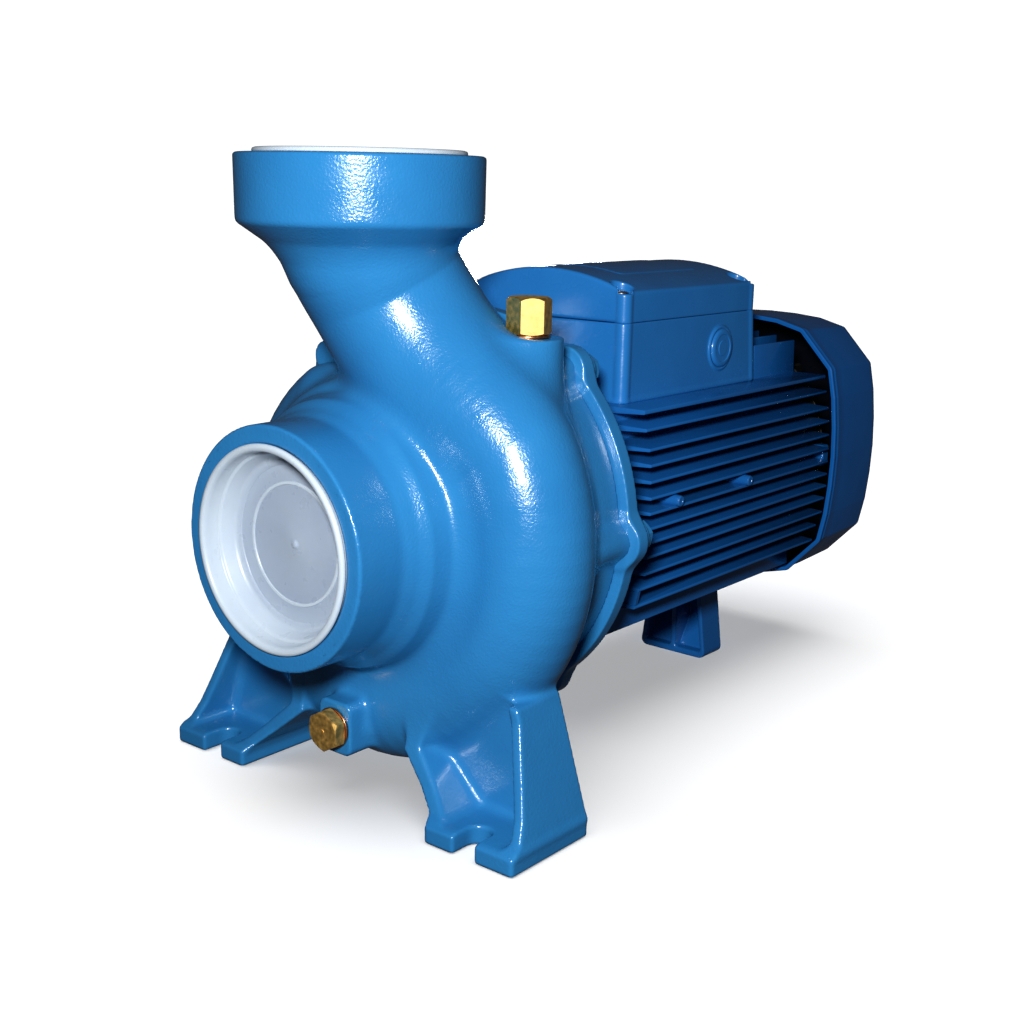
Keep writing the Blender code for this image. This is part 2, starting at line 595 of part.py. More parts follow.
for i in range(4):
    x = ROD_AT * (1, 1, -1, -1)[i]
    z = SHAFT_Z + ROD_AT * (1, -1, 1, -1)[i]
    tie = prism(f"tie_rod_{i + 1}", hexagon(8), 431.3, 435, "Y", (x, 0, z), keep=True)
    join(tie, rod(f"tie_rod_shank_{i}", ROD_R, 167, 433, 8, at=(x, 0, z)))
    colour(tie, STEEL, 0.35, 1.0)

# ---------------------------------------------------------------- fan and cover
fan = turned("cooling_fan", [(15, 460), (16, 441), (70, 441), (70, 438), (16, 436), (10.4, 436), (10.4, 460)], 20,
             keep=True)
for k in range(7):
    blade = prism(f"fan_blade_{k}", [(13, -1.3), (80, -1.3), (80, 1.3), (13, 1.3)], 439, 462, "Y", (0, 0, SHAFT_Z))
    blade.rotation_euler = (math.radians(-90), math.radians(360 * k / 7), 0)
    join(fan, blade)
colour(fan, BLACK, 0.45, 0.0)


def cover_outline(grow):
    """The fan cover seen from behind: four arched sides and four straight corners."""
    g = grow
    quarter = [(97 + g, 0), (96.2 + g, 22), (94 + g, 44), (90 + g * 0.9, 64 + g * 0.5), (78 + g * 0.75, 78 + g * 0.72),
               (64 + g * 0.5, 91 + g * 0.9), (44, 94.5 + g), (22, 96.5 + g), (0, 97 + g)]
    points = quarter
    points = points + [(-x, z) for x, z in reversed(quarter[:-1])]
    points = points + [(-x, -z) for x, z in quarter[1:]]
    points = points + [(x, -z) for x, z in reversed(quarter[1:-1])]
    return points


def shell(name, inset, y0, y1, chamfer):
    n = len(cover_outline(0))
    verts = []
    for y, grow in ((y0, inset), (y1 - chamfer, inset), (y1 - chamfer * 0.3, inset - chamfer * 0.3), (y1, inset - chamfer)):
        verts += [(x, y, z + SHAFT_Z) for x, z in cover_outline(grow)]
    faces = [tuple(range(n)), tuple(reversed(range(3 * n, 4 * n)))]
    for ring in range(3):
        for i in range(n):
            j = (i + 1) % n
            a = ring * n
            faces.append((a + j, a + i, a + n + i, a + n + j))
    return mesh_object(name, verts, [], faces)


cover = place(shell("fan_cover", 0, COVER_Y0 + GAP, COVER_Y1, 7), keep=True)
cut(cover, place(shell("fan_cover_inside", -COVER_T, COVER_Y0 - 8, COVER_Y1 - COVER_T, 6)))
rim = place(shell("fan_cover_rim", 1.6, COVER_Y0 + GAP, COVER_Y0 + 4, 0.4))
rim_inside = place(shell("fan_cover_rim_inside", -COVER_T, COVER_Y0 - 8, COVER_Y0 + 8, 0.4))
cut(rim, rim_inside)
join(cover, rim)
for k in range(12):
    a = 30 * k
    for r0, r1 in ((28, 72),):
        slit = prism(f"grille_{k}_{r0}", [(r0, -2.6), (r1, -2.6), (r1, 2.6), (r0, 2.6)], 480, 500, "Y",
                     (0, 0, SHAFT_Z))
        slit.rotation_euler = (math.radians(-90), math.radians(a), 0)
        cut(cover, slit)
colour(cover, BLUE, 0.3, 0.0)

# ---------------------------------------------------------------- terminal box
low = rounded(-BOX_X, BOX_Y0, BOX_X, BOX_Y1, 6, 3)
high = rounded(-BOX_X + 1.6, BOX_Y0 + 2.6, BOX_X - 1.6, BOX_Y1 - 2.6, 6, 3)
terminal_box = frustum("terminal_box_base", low, high, DECK_Z + GAP, BOX_SEAM, keep=True)
cut(terminal_box, prism("terminal_box_inside", rounded(-58, 199, 58, 344, 4, 2), 233, 290))
cut(terminal_box, rod("terminal_box_arch", BARREL_R + 0.8, 180, 360, 24, at=(0, 0, SHAFT_Z)))
posts = []
for i, (x, y) in enumerate(((53, 204), (-53, 204), (53, 339), (-53, 339))):
    join(terminal_box, box(f"terminal_box_post_{i}", (x - 6, y - 6, 230), (x + 6, y + 6, BOX_SEAM - 0.4)))
    cut(terminal_box, rod(f"terminal_box_post_hole_{i}", 2.3, 236, 290, 8, "Z", (x, y, 0)))
cut(terminal_box, rod("terminal_box_wire_hole", 9, 215, 240, 12, "Z", (0, 270, 0)))
cut(terminal_box, rod("knockout_hole", 10.3, 50, 80, 16, "X", (0, 306.5, 247.5)))
gland_hole = rod("gland_hole", 10.3, -80, -50, 16, "X", (0, 271, 247.5))
cut(terminal_box, gland_hole)
for i, (x, y) in enumerate(((24, 240), (-24, 240))):
    join(terminal_box, box(f"board_post_{i}", (x - 4, y - 4, 231), (x + 4, y + 4, 238)))
colour(terminal_box, BLUE, 0.3, 0.0)

gasket = prism("terminal_box_gasket", rounded(-62.6, 195.4, 62.6, 347.6, 5, 3), BOX_SEAM + 0.2, BOX_SEAM + 1.2,
               keep=True)
cut(gasket, prism("gasket_inside", rounded(-58.5, 199.5, 58.5, 343.5, 4, 2), BOX_SEAM - 2, BOX_SEAM + 4))
colour(gasket, BLACK, 0.7, 0.0)


def lid_outline(x, z0, side, crown, n=8):
    points = [(x, z0), (x, side)]
    for i in range(1, n):
        t = -1 + 2 * i / n
        points.append((-x * t, side + (crown - side) * (1 - t * t)))
    return points + [(-x, side), (-x, z0)]


lid = prism("terminal_box_lid", lid_outline(62.6, BOX_SEAM + 1.4, LID_SIDE, LID_CROWN), -347, -196, turn=(90, 0, 0),
            keep=True)
lid_inside = prism("lid_inside", lid_outline(58.5, BOX_SEAM - 3, LID_SIDE - 3.6, LID_CROWN - 3.6), -343, -200,
                   turn=(90, 0, 0))
for i, (x, y) in enumerate(((53, 204), (-53, 204), (53, 339), (-53, 339))):
    cut(lid_inside, rod(f"lid_post_{i}", 7.6, 250, 310, 8, "Z", (x, y, 0)))
cut(lid, lid_inside)
for i, (x, y) in enumerate(((53, 204), (-53, 204), (53, 339), (-53, 339))):
    cut(lid, rod(f"lid_recess_{i}", 6.0, 286.5, 310, 10, "Z", (x, y, 0)))
    cut(lid, rod(f"lid_hole_{i}", 2.7, 260, 290, 8, "Z", (x, y, 0)))
colour(lid, BLUE, 0.3, 0.0)
for i, (x, y) in enumerate(((53, 204), (-53, 204), (53, 339), (-53, 339))):
    screw_obj = turned(f"lid_screw_{i + 1}", [(0, 289.6), (3.4, 289.6), (4.8, 288.2), (4.8, 286.8), (2.0, 286.8),
                                              (2.0, 250), (0, 250)], 8, "Z", (x, y, 0), keep=True)
    cut(screw_obj, box(f"lid_screw_slot_{i}", (x - 6, y - 0.6, 288.3), (x + 6, y + 0.6, 292)))
    colour(screw_obj, STEEL, 0.3, 1.0)

board = box("terminal_board", (-34, 226, 238.3), (34, 254, 244), keep=True)
for i in range(6):
    x = (-22, 0, 22)[i % 3]
    y = (233, 247)[i // 3]
    join(board, rod(f"terminal_stud_{i}", 2.5, 242, 256, 6, "Z", (x, y, 0)))
    join(board, prism(f"terminal_nut_{i}", hexagon(8), 243, 247.5, at=(x, y, 0)))
colour(board, (0.05, 0.05, 0.05), 0.5, 0.0)

blank = turned("knockout_plug", [(0, 66.6), (12, 66.6), (13, 65.8), (13, 65.3), (10, 64.9), (10, 57), (0, 57)], 16,
               "X", (0, 306.5, 247.5), keep=True)
colour(blank, BLUE, 0.3, 0.0)
gland = prism("cable_gland_body", hexagon(24), 65.2, 73, "X", (0, 271, 247.5), keep=True)
gland.rotation_euler = (0, math.radians(-90), 0)
neck = rod("gland_thread", 10.0, 55, 86, 16, "Z", (0, 271, 247.5))
neck.rotation_euler = (0, math.radians(-90), 0)
hole = rod("gland_bore", 7.0, 50, 95, 16, "Z", (0, 271, 247.5))
hole.rotation_euler = (0, math.radians(-90), 0)
join(gland, neck)
cut(gland, hole)
colour(gland, BLACK, 0.45, 0.0)
gland_nut = prism("cable_gland_nut", hexagon(24), 73.3, 92, "X", (0, 271, 247.5), keep=True)
gland_nut.rotation_euler = (0, math.radians(-90), 0)
nut_hole = turned("gland_nut_bore", [(0, 100), (6.5, 100), (6.5, 86.3), (10.3, 86.3), (10.3, 60), (0, 60)], 16, "Z",
                  (0, 271, 247.5))
nut_hole.rotation_euler = (0, math.radians(-90), 0)
nut_dome = turned("gland_nut_dome", [(0, 92), (8, 92), (13.5, 84), (14.2, 70), (0, 70)], 16, "Z", (0, 271, 247.5))
nut_dome.rotation_euler = (0, math.radians(-90), 0)
boolean(gland_nut, nut_dome, "INTERSECT")
cut(gland_nut, nut_hole)
colour(gland_nut, BLACK, 0.45, 0.0)

# ---------------------------------------------------------------- rear foot
foot = prism("rear_foot", [(-REAR_FOOT_X, 0), (REAR_FOOT_X, 0), (REAR_FOOT_TOP, KEEL_Z - GAP),
                           (-REAR_FOOT_TOP, KEEL_Z - GAP)], -REAR_FOOT_Y1, -REAR_FOOT_Y0, turn=(90, 0, 0), keep=True)
for side in (-1, 1):
    a, b = 2.2, 25.0
    c, d = 17.0, 64.0
    outline = [(side * a, 5), (side * b, 5), (side * c, d), (side * a, d)]
    pocket = prism(f"rear_foot_pocket_{side}", outline if side > 0 else list(reversed(outline)), -REAR_FOOT_Y1 + 5,
                   -REAR_FOOT_Y0 + 5, turn=(90, 0, 0))
    cut(foot, pocket)
    cut(foot, rod(f"rear_foot_hole_{side}", 3.3, 55, 90, 12, "Z", (side * 11, 379, 0)))
colour(foot, BLUE, 0.3, 0.0)
for side in (-1, 1):
    fixing = prism(f"rear_foot_screw_{(side + 3) // 2}", hexagon(10), 59.5, 63.7, at=(side * 11, 379, 0), keep=True)
    join(fixing, rod(f"rear_foot_shank_{side}", 3.0, 62, 82, 12, "Z", (side * 11, 379, 0)))
    colour(fixing, STEEL, 0.35, 1.0)
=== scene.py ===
"""Looks of a close-coupled centrifugal water pump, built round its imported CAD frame.

Shapes are worked out in millimetres: X is zero on the shaft, Z is zero under the feet, and Y runs along the
shaft from the suction port towards the fan. to_frame() turns them into the frame's metres.
"""

import itertools
import json
import math

import bmesh
import bpy
import numpy as np
from mathutils import Matrix, Vector
from mathutils.geometry import tessellate_polygon


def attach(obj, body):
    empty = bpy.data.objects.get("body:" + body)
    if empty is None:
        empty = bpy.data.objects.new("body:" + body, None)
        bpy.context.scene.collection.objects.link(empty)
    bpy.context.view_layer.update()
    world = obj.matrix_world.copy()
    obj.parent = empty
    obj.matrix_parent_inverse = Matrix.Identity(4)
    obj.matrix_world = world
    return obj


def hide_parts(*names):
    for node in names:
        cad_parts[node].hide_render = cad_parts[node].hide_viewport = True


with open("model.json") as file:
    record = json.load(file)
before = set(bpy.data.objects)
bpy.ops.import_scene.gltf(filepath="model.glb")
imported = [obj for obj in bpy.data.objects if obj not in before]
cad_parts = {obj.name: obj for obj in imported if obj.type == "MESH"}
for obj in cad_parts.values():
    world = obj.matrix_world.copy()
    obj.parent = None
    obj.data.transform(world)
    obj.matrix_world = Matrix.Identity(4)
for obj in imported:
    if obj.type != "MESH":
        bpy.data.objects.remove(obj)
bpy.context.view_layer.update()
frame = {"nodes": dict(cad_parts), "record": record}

MM = 0.001
FAR = 60
TINY = 1e-6
MID_Y = 227.7
SHAFT_Z = 160.0

PORT_R = 68.0
SOCKET_R = 56.5
SUCTION_Y = -39.0
DISCHARGE_Y = 30.2
DISCHARGE_Z = 367.5
SOCKET_DEPTH = 24.0
JOINT_Y = 121.0
DRUM_R = 115.5
FLANGE_R = 121.5
BOLT_CIRCLE = 114.0
BOLT_ANGLES = (51.0, -2.5, -57.0, 237.0, 182.5, 129.0)
EAR_R = 15.0
CASING_EAR_R = 9.8
SPIGOT_R = 99.7
FILLER = (78.0, 81.0, 272.0)
DRAIN = (0.0, 6.0, 45.5)
FRAME_Y0 = 181.0
FRAME_Y1 = 419.0
ROD_AT = 49.5
ROD_HOLE_R = 3.3
RODS = tuple((x, z) for x in (ROD_AT, -ROD_AT) for z in (SHAFT_Z + ROD_AT, SHAFT_Z - ROD_AT))
FOOT_SCREW_X = 11
FOOT_SCREW_Y = 379
WIRE_WAY = (0, 270)


def to_frame(points):
    moved = np.array(points, float).reshape(-1, 3) * MM
    moved[:, 1] -= MID_Y * MM
    return moved


def around(angle, radius=BOLT_CIRCLE):
    """A point on a circle round the shaft, as X and Z."""
    t = math.radians(angle)
    return radius * math.cos(t), SHAFT_Z + radius * math.sin(t)


# ---------------------------------------------------------------- outlines


def fillet(points, radius, steps=5):
    """A closed outline with its corners rounded. The radius is one number, or one for each corner."""
    count = len(points)
    radii = radius if hasattr(radius, "__len__") else [radius] * count
    made = []
    for i, r in enumerate(radii):
        p, a, b = (np.array(points[k % count], float) for k in (i, i - 1, i + 1))
        u, v = a - p, b - p
        lu, lv = np.linalg.norm(u), np.linalg.norm(v)
        u, v = u / lu, v / lv
        between = math.acos(max(-1, min(1, float(u @ v))))
        if r <= 0 or between > math.radians(176):
            made.append(tuple(p))
            continue
        back = min(r / math.tan(between / 2), 0.48 * lu, 0.48 * lv)
        size = back * math.tan(between / 2)
        middle = (u + v) / np.linalg.norm(u + v)
        centre = p + middle * size / math.sin(between / 2)
        first, last = p + u * back - centre, p + v * back - centre
        a0, a1 = math.atan2(first[1], first[0]), math.atan2(last[1], last[0])
        turn = (a1 - a0 + math.pi) % (2 * math.pi) - math.pi
        for k in range(steps + 1):
            t = a0 + turn * k / steps
            made.append((centre[0] + size * math.cos(t), centre[1] + size * math.sin(t)))
    return made


def rectangle(x0, y0, x1, y1):
    return [(x0, y0), (x1, y0), (x1, y1), (x0, y1)]


def circle(u, v, radius, steps):
    turns = [2 * math.pi * k / steps for k in range(steps)]
    return [(u + radius * math.cos(t), v + radius * math.sin(t)) for t in turns]


def mirrored(outline, side):
    """The outline, or for a side of -1 its mirror image, going round the same way."""
    return [(side * a, b) for a, b in outline][::side]


def polygon_distance(u, v, outline):
    """Signed distance to a closed outline, negative inside."""
    points = np.array(outline, np.float32)
    best = None
    inside = None
    for i in range(len(points)):
        a, b = points[i], points[i - 1]
        ex, ey = float(b[0] - a[0]), float(b[1] - a[1])
        length2 = ex * ex + ey * ey
        if length2 < 1e-10:
            continue
        wx, wy = u - a[0], v - a[1]
        t = np.clip((wx * ex + wy * ey) / length2, 0, 1)
        dx, dy = wx - ex * t, wy - ey * t
        d = dx * dx + dy * dy
        best = d if best is None else np.minimum(best, d)
        above, below, left = v >= a[1], v < b[1], ex * wy > ey * wx
        flip = (above & below & left) | (~above & ~below & ~left)
        inside = flip if inside is None else inside ^ flip
    return np.where(inside, -1, 1) * np.sqrt(best)


# ---------------------------------------------------------------- solids as distance fields


def smooth_min(a, b, k):
    if k <= 0:
        return np.minimum(a, b)
    h = np.maximum(k - np.abs(a - b), 0) / k
    return np.minimum(a, b) - h * h * k * 0.25


class Field:
    """A signed distance on a grid of points. Shapes are added and cut with rounded meetings."""

    def __init__(self, low, high, step):
        self.step = step
        self.low = np.array(low, float)
        self.count = [int(math.ceil((b - a) / step)) + 1 for a, b in zip(low, high)]
        self.axes = [(self.low[i] + step * np.arange(self.count[i])).astype(np.float32) for i in range(3)]
        self.d = np.full(self.count, FAR, np.float32)

    def window(self, low, high, pad):
        cuts = []
        for i in range(3):
            a = int(math.floor((low[i] - pad - self.low[i]) / self.step))
            b = int(math.ceil((high[i] + pad - self.low[i]) / self.step)) + 1
            cuts.append(slice(max(0, a), max(0, min(self.count[i], b))))
        x = self.axes[0][cuts[0]][:, None, None]
        y = self.axes[1][cuts[1]][None, :, None]
        z = self.axes[2][cuts[2]][None, None, :]
        return tuple(cuts), x, y, z

    def add(self, shape, k=0.0):
        distance, low, high = shape
        cuts, x, y, z = self.window(low, high, k + 3 * self.step + 2)
        self.d[cuts] = smooth_min(self.d[cuts], distance(x, y, z), k)

    def cut(self, shape, k=0.0):
        distance, low, high = shape
        cuts, x, y, z = self.window(low, high, k + 3 * self.step + 2)
        self.d[cuts] = -smooth_min(-self.d[cuts], distance(x, y, z), k)

    def sample(self, points):
        """The field at any points, by trilinear interpolation."""
        at = (points - self.low) / self.step
        base = np.clip(np.floor(at).astype(int), 0, np.array(self.count) - 2)
        f = (at - base).astype(np.float32)
        i, j, k = base.T
        found = 0
        for a, b, c in itertools.product((0, 1), repeat=3):
            w = (f[:, 0] if a else 1 - f[:, 0]) * (f[:, 1] if b else 1 - f[:, 1])
            found = found + w * (f[:, 2] if c else 1 - f[:, 2]) * self.d[i + a, j + b, k + c]
        return found

    def slope(self, points, reach=0.6):
        made = np.zeros((len(points), 3))
        for axis in range(3):
            shift = np.zeros(3)
            shift[axis] = reach * self.step
            made[:, axis] = self.sample(points + shift) - self.sample(points - shift)
        return made / (2 * reach * self.step)

    def surface(self, relax=2):
        """The zero surface as vertices, quads and normals: one vertex in each crossed cell."""
        d = self.d
        solid = d < 0
        full = np.zeros([n - 1 for n in self.count], np.int8)
        for a, b, c in itertools.product((0, 1), repeat=3):
            full += solid[a:d.shape[0] - 1 + a, b:d.shape[1] - 1 + b, c:d.shape[2] - 1 + c]
        crossed = (full > 0) & (full < 8)
        cells = np.argwhere(crossed)
        index = np.full(full.shape, -1, np.int64)
        index[crossed] = np.arange(len(cells))
        total = np.zeros((len(cells), 3))
        hits = np.zeros(len(cells))
        for axis in range(3):
            u, v = (axis + 1) % 3, (axis + 2) % 3
            for p, q in itertools.product((0, 1), repeat=2):
                start = np.zeros(3, int)
                start[u], start[v] = p, q
                end = start.copy()
                end[axis] = 1
                a = d[tuple((cells + start).T)]
                b = d[tuple((cells + end).T)]
                cross = (a < 0) != (b < 0)
                t = np.zeros(len(cells))
                t[cross] = a[cross] / (a[cross] - b[cross])
                spot = (cells + start).astype(float)
                spot[:, axis] += t
                total[cross] += spot[cross]
                hits[cross] += 1
        verts = self.low + self.step * total / hits[:, None]
        quads = []
        for axis in range(3):
            u, v = (axis + 1) % 3, (axis + 2) % 3
            lower = [slice(None)] * 3
            upper = [slice(None)] * 3
            lower[axis], upper[axis] = slice(0, -1), slice(1, None)
            edges = np.argwhere(solid[tuple(lower)] != solid[tuple(upper)])
            ok = (edges[:, u] > 0) & (edges[:, v] > 0)
            ok &= (edges[:, u] < self.count[u] - 1) & (edges[:, v] < self.count[v] - 1)
            edges = edges[ok]
            corners = []
            for du, dv in ((-1, -1), (0, -1), (0, 0), (-1, 0)):
                cell = edges.copy()
                cell[:, u] += du
                cell[:, v] += dv
                corners.append(index[tuple(cell.T)])
            quad = np.stack(corners, 1)
            outward = solid[tuple(edges.T)]
            quad[~outward] = quad[~outward][:, ::-1]
            quads.append(quad)
        quads = np.concatenate(quads)
        quads = quads[(quads >= 0).all(1)]
        ends = np.concatenate([quads[:, [i, (i + 1) % 4]] for i in range(4)])
        for _ in range(relax):
            near = np.stack([np.bincount(ends[:, 0], verts[ends[:, 1], i], len(verts)) for i in range(3)], 1)
            count = np.bincount(ends[:, 0], minlength=len(verts))[:, None]
            moved = verts * 0.5 + 0.5 * near / np.maximum(count, 1)
            slope = self.slope(moved)
            steep = np.maximum((slope ** 2).sum(1), 0.05)
            step = self.sample(moved) / steep
            verts = moved - slope * np.clip(step, -self.step, self.step)[:, None]
        normals = self.slope(verts)
        normals /= np.maximum(np.linalg.norm(normals, axis=1), 1e-6)[:, None]
        return verts, quads, normals


PLANES = {"X": (1, 2, 0), "Y": (0, 2, 1), "Z": (0, 1, 2)}
TABLE_STEP = 0.4
SWEEP_REACH = 16


def limits(axis, low, high, h0, h1):
    """The corners of the box round a shape, from its limits across the axis and its heights."""
    a, b, h = PLANES[axis]
    corners = np.zeros((2, 3))
    corners[:, a], corners[:, b], corners[:, h] = (low[0], high[0]), (low[1], high[1]), (h0, h1)
    return corners


def rounded(side, end, edge):
    """Two distances, each drawn in by the edge's radius, met round that edge."""
    out = np.sqrt(np.maximum(side, 0) ** 2 + np.maximum(end, 0) ** 2)
    return np.minimum(np.maximum(side, end), 0) + out - edge


def slab(axis, outline, h0, h1, edge=0.0):
    """A straight solid of that outline from h0 to h1 along the axis, with its end edges rounded."""
    a, b, h = PLANES[axis]
    points = np.array(outline, float)
    middle, half = (h0 + h1) / 2, (h1 - h0) / 2

    def distance(x, y, z):
        at = (x, y, z)
        side = polygon_distance(at[a], at[b], outline) + edge
        return rounded(side, np.abs(at[h] - middle) - half + edge, edge)

    return distance, *limits(axis, points.min(0), points.max(0), h0, h1)


def pipe(axis, at, radius, h0, h1, edge=0.0):
    """A round rod along the axis through that point."""
    a, b, h = PLANES[axis]
    middle, half = (h0 + h1) / 2, (h1 - h0) / 2

    def distance(x, y, z):
        p = (x, y, z)
        side = np.hypot(p[a] - at[0], p[b] - at[1]) - radius + edge
        return rounded(side, np.abs(p[h] - middle) - half + edge, edge)

    return distance, *limits(axis, (at[0] - radius, at[1] - radius), (at[0] + radius, at[1] + radius), h0, h1)


def spun(axis, at, outline):
    """A turned solid. The outline is radius and height, with a radius of -40 where it passes the axis."""
    a, b, h = PLANES[axis]
    points = np.array(outline, float)
    reach = points[:, 0].max()

    def distance(x, y, z):
        p = (x, y, z)
        radius = np.hypot(p[a] - at[0], p[b] - at[1])
        heights = p[h].ravel()
        rows = np.arange(0, float(radius.max()) + 2 * TABLE_STEP, TABLE_STEP, dtype=np.float32)
        table = polygon_distance(rows[:, None], heights[None, :], outline)
        place = radius / TABLE_STEP
        first = place.astype(int)
        share = (place - first).astype(np.float32)
        flat, share = first.ravel(), share.ravel()[:, None]
        found = table[flat] * (1 - share) + table[flat + 1] * share
        shape = [s for i, s in enumerate(radius.shape) if i != h] + [len(heights)]
        return np.moveaxis(found.reshape(shape), -1, h)

    return distance, *limits(axis, (at[0] - reach, at[1] - reach), (at[0] + reach, at[1] + reach),
                             points[:, 1].min(), points[:, 1].max())


def sweep(points, radii):
    """A round limb along a line of centres, its radius changing from point to point."""
    points, radii = np.array(points, float), np.array(radii, float)
    low = (points - radii[:, None]).min(0)
    high = (points + radii[:, None]).max(0)

    def distance(x, y, z):
        best = np.full(np.broadcast(x, y, z).shape, FAR, np.float32)
        xs, ys, zs = x.ravel(), y.ravel(), z.ravel()
        for p, q, r, s in zip(points, points[1:], radii, radii[1:]):
            reach = max(r, s) + SWEEP_REACH
            cuts = []
            for line, i in ((xs, 0), (ys, 1), (zs, 2)):
                near = np.flatnonzero((line > min(p[i], q[i]) - reach) & (line < max(p[i], q[i]) + reach))
                cuts.append(slice(near[0], near[-1] + 1) if len(near) else slice(0, 0))
            u, v, w = xs[cuts[0]][:, None, None], ys[cuts[1]][None, :, None], zs[cuts[2]][None, None, :]
            if 0 in (u.size, v.size, w.size):
                continue
            e = q - p
            t = np.clip(((u - p[0]) * e[0] + (v - p[1]) * e[1] + (w - p[2]) * e[2]) / (e @ e), 0, 1)
            d = np.sqrt((u - p[0] - t * e[0]) ** 2 + (v - p[1] - t * e[1]) ** 2 + (w - p[2] - t * e[2]) ** 2)
            best[tuple(cuts)] = np.minimum(best[tuple(cuts)], d - (r + t * (s - r)))
        return best

    return distance, low, high


def bent(keys, count):
    """Catmull-Rom points through rows of numbers."""
    keys = np.array(keys, float)
    padded = np.vstack([2 * keys[0] - keys[1], keys, 2 * keys[-1] - keys[-2]])
    made = []
    for i in range(len(keys) - 1):
        p0, p1, p2, p3 = padded[i:i + 4]
        for t in np.arange(count) / count:
            a = 2 * p1 + (p2 - p0) * t + (2 * p0 - 5 * p1 + 4 * p2 - p3) * t ** 2
            made.append((a + (-p0 + 3 * p1 - 3 * p2 + p3) * t ** 3) / 2)
    return np.array(made + [keys[-1]])


# ---------------------------------------------------------------- materials


class Paint:
    """A node material, with short calls for the nodes that every finish here uses."""

    def __init__(self, name):
        self.material = bpy.data.materials.new(name)
        self.material.use_nodes = True
        self.tree = self.material.node_tree
        self.shader = self.tree.nodes["Principled BSDF"]
        self.place = self.node("ShaderNodeTexCoord").outputs["Object"]

    def node(self, kind, inputs=(), **settings):
        """A new node. An input is its name or number with a value or another node's output."""
        made = self.tree.nodes.new(kind)
        for key, value in settings.items():
            setattr(made, key, value)
        for key, value in inputs:
            if isinstance(value, bpy.types.NodeSocket):
                self.tree.links.new(value, made.inputs[key])
            else:
                made.inputs[key].default_value = value
        return made

    def set(self, **values):
        for key, value in values.items():
            self.shader.inputs[key.replace("_", " ")].default_value = value

    def scaled(self, scale):
        return self.node("ShaderNodeMapping", (("Scale", scale), ("Vector", self.place))).outputs["Vector"]

    def noise(self, size_mm, detail=2.0, rough=0.5, vector=None, bend=0.0):
        inputs = (("Scale", 1000.0 / size_mm), ("Detail", detail), ("Roughness", rough), ("Distortion", bend),
                  ("Vector", vector or self.place))
        return self.node("ShaderNodeTexNoise", inputs).outputs["Fac"]

    def cells(self, size_mm, smooth=0.6):
        inputs = (("Scale", 1000.0 / size_mm), ("Smoothness", smooth), ("Vector", self.place))
        return self.node("ShaderNodeTexVoronoi", inputs, feature="SMOOTH_F1").outputs["Distance"]

    def ramp(self, value, stops):
        made = self.node("ShaderNodeValToRGB", (("Fac", value),))
        ramp = made.color_ramp
        while len(ramp.elements) < len(stops):
            ramp.elements.new(0.5)
        for element, (where, colour) in zip(ramp.elements, stops):
            element.position = where
            element.color = colour if hasattr(colour, "__len__") else (colour, colour, colour, 1)
        return made.outputs["Color"]

    def math(self, operation, a, b):
        return self.node("ShaderNodeMath", ((0, a), (1, b)), operation=operation).outputs[0]

    def vectors(self, operation, *values):
        made = self.node("ShaderNodeVectorMath", enumerate(values), operation=operation)
        return made.outputs["Value" if operation in ("DISTANCE", "DOT_PRODUCT", "LENGTH") else "Vector"]

    def mix(self, share, a, b):
        a, b = ((*value, 1) if isinstance(value, tuple) else value for value in (a, b))
        return self.node("ShaderNodeMix", ((0, share), (6, a), (7, b)), data_type="RGBA").outputs[2]

    def bump(self, height, depth_mm, under=None):
        made = self.node("ShaderNodeBump", (("Strength", 1.0), ("Distance", depth_mm * MM),
                                            ("Height", height)))
        if under is not None:
            self.tree.links.new(under, made.inputs["Normal"])
        return made.outputs["Normal"]

    def finish(self, colour, rough=None, normal=None):
        for value, name in ((colour, "Base Color"), (rough, "Roughness"), (normal, "Normal")):
            if value is not None:
                self.tree.links.new(value, self.shader.inputs[name])
        return self.material


# The enamel's blue, its patches of thinner and thicker paint, and tones that scale it. The frame's and the
# sheet's tones are painted shade: those parts carry the casing's enamel, darkened and deepened for the shade
# they stand in. The box's tone makes its blue deeper and bluer.
BLUE = (0.027, 0.182, 0.405)
BLUE_LOW = (0.024, 0.164, 0.375)
BLUE_HIGH = (0.030, 0.198, 0.432)
CAST_TONE = (1.0, 1.0, 1.0)
BOX_TONE = (0.80, 0.94, 1.12)
FRAME_SHADED_TONE = (0.45, 0.66, 0.88)
SHEET_SHADED_TONE = (0.38, 0.70, 0.98)
# Where shade is painted near-black on the fan cover: inside it behind its rim, and in the grille's slits.
GRILLE_R = 70.0
GRILLE_Y = 500.8
COVER_INSIDE_Y = 426.0
PAINTED_SHADE_BLACK = (0.003, 0.005, 0.010)


def painted_shade_in_cover(p):
    """How far a point of the fan cover lies inside it, where shade is painted near-black: 1 on the inner
    walls and in the grille, 0 outside.
    """
    normal = p.node("ShaderNodeTexCoord").outputs["Normal"]
    outward = p.vectors("MULTIPLY_ADD", p.place, (1, 0, 1), (0, 0, -SHAFT_Z * MM))
    place_y, normal_y = (p.node("ShaderNodeSeparateXYZ", ((0, value),)).outputs["Y"]
                         for value in (p.place, normal))
    rim_y, grille_y = (float(y) for y in to_frame([(0, COVER_INSIDE_Y, 0), (0, GRILLE_Y, 0)])[:, 1])
    behind = p.math("GREATER_THAN", place_y, rim_y)
    inner_wall = p.math("LESS_THAN", p.vectors("DOT_PRODUCT", outward, normal), -0.02)
    inner_back = p.math("LESS_THAN", normal_y, -0.5)
    inside = p.math("MULTIPLY", behind, p.math("MAXIMUM", inner_wall, inner_back))
    grille = p.math("MULTIPLY", p.math("LESS_THAN", p.vectors("LENGTH", outward), GRILLE_R * MM),
                    p.math("LESS_THAN", place_y, grille_y))
    return p.math("MAXIMUM", inside, p.math("MULTIPLY", behind, grille))


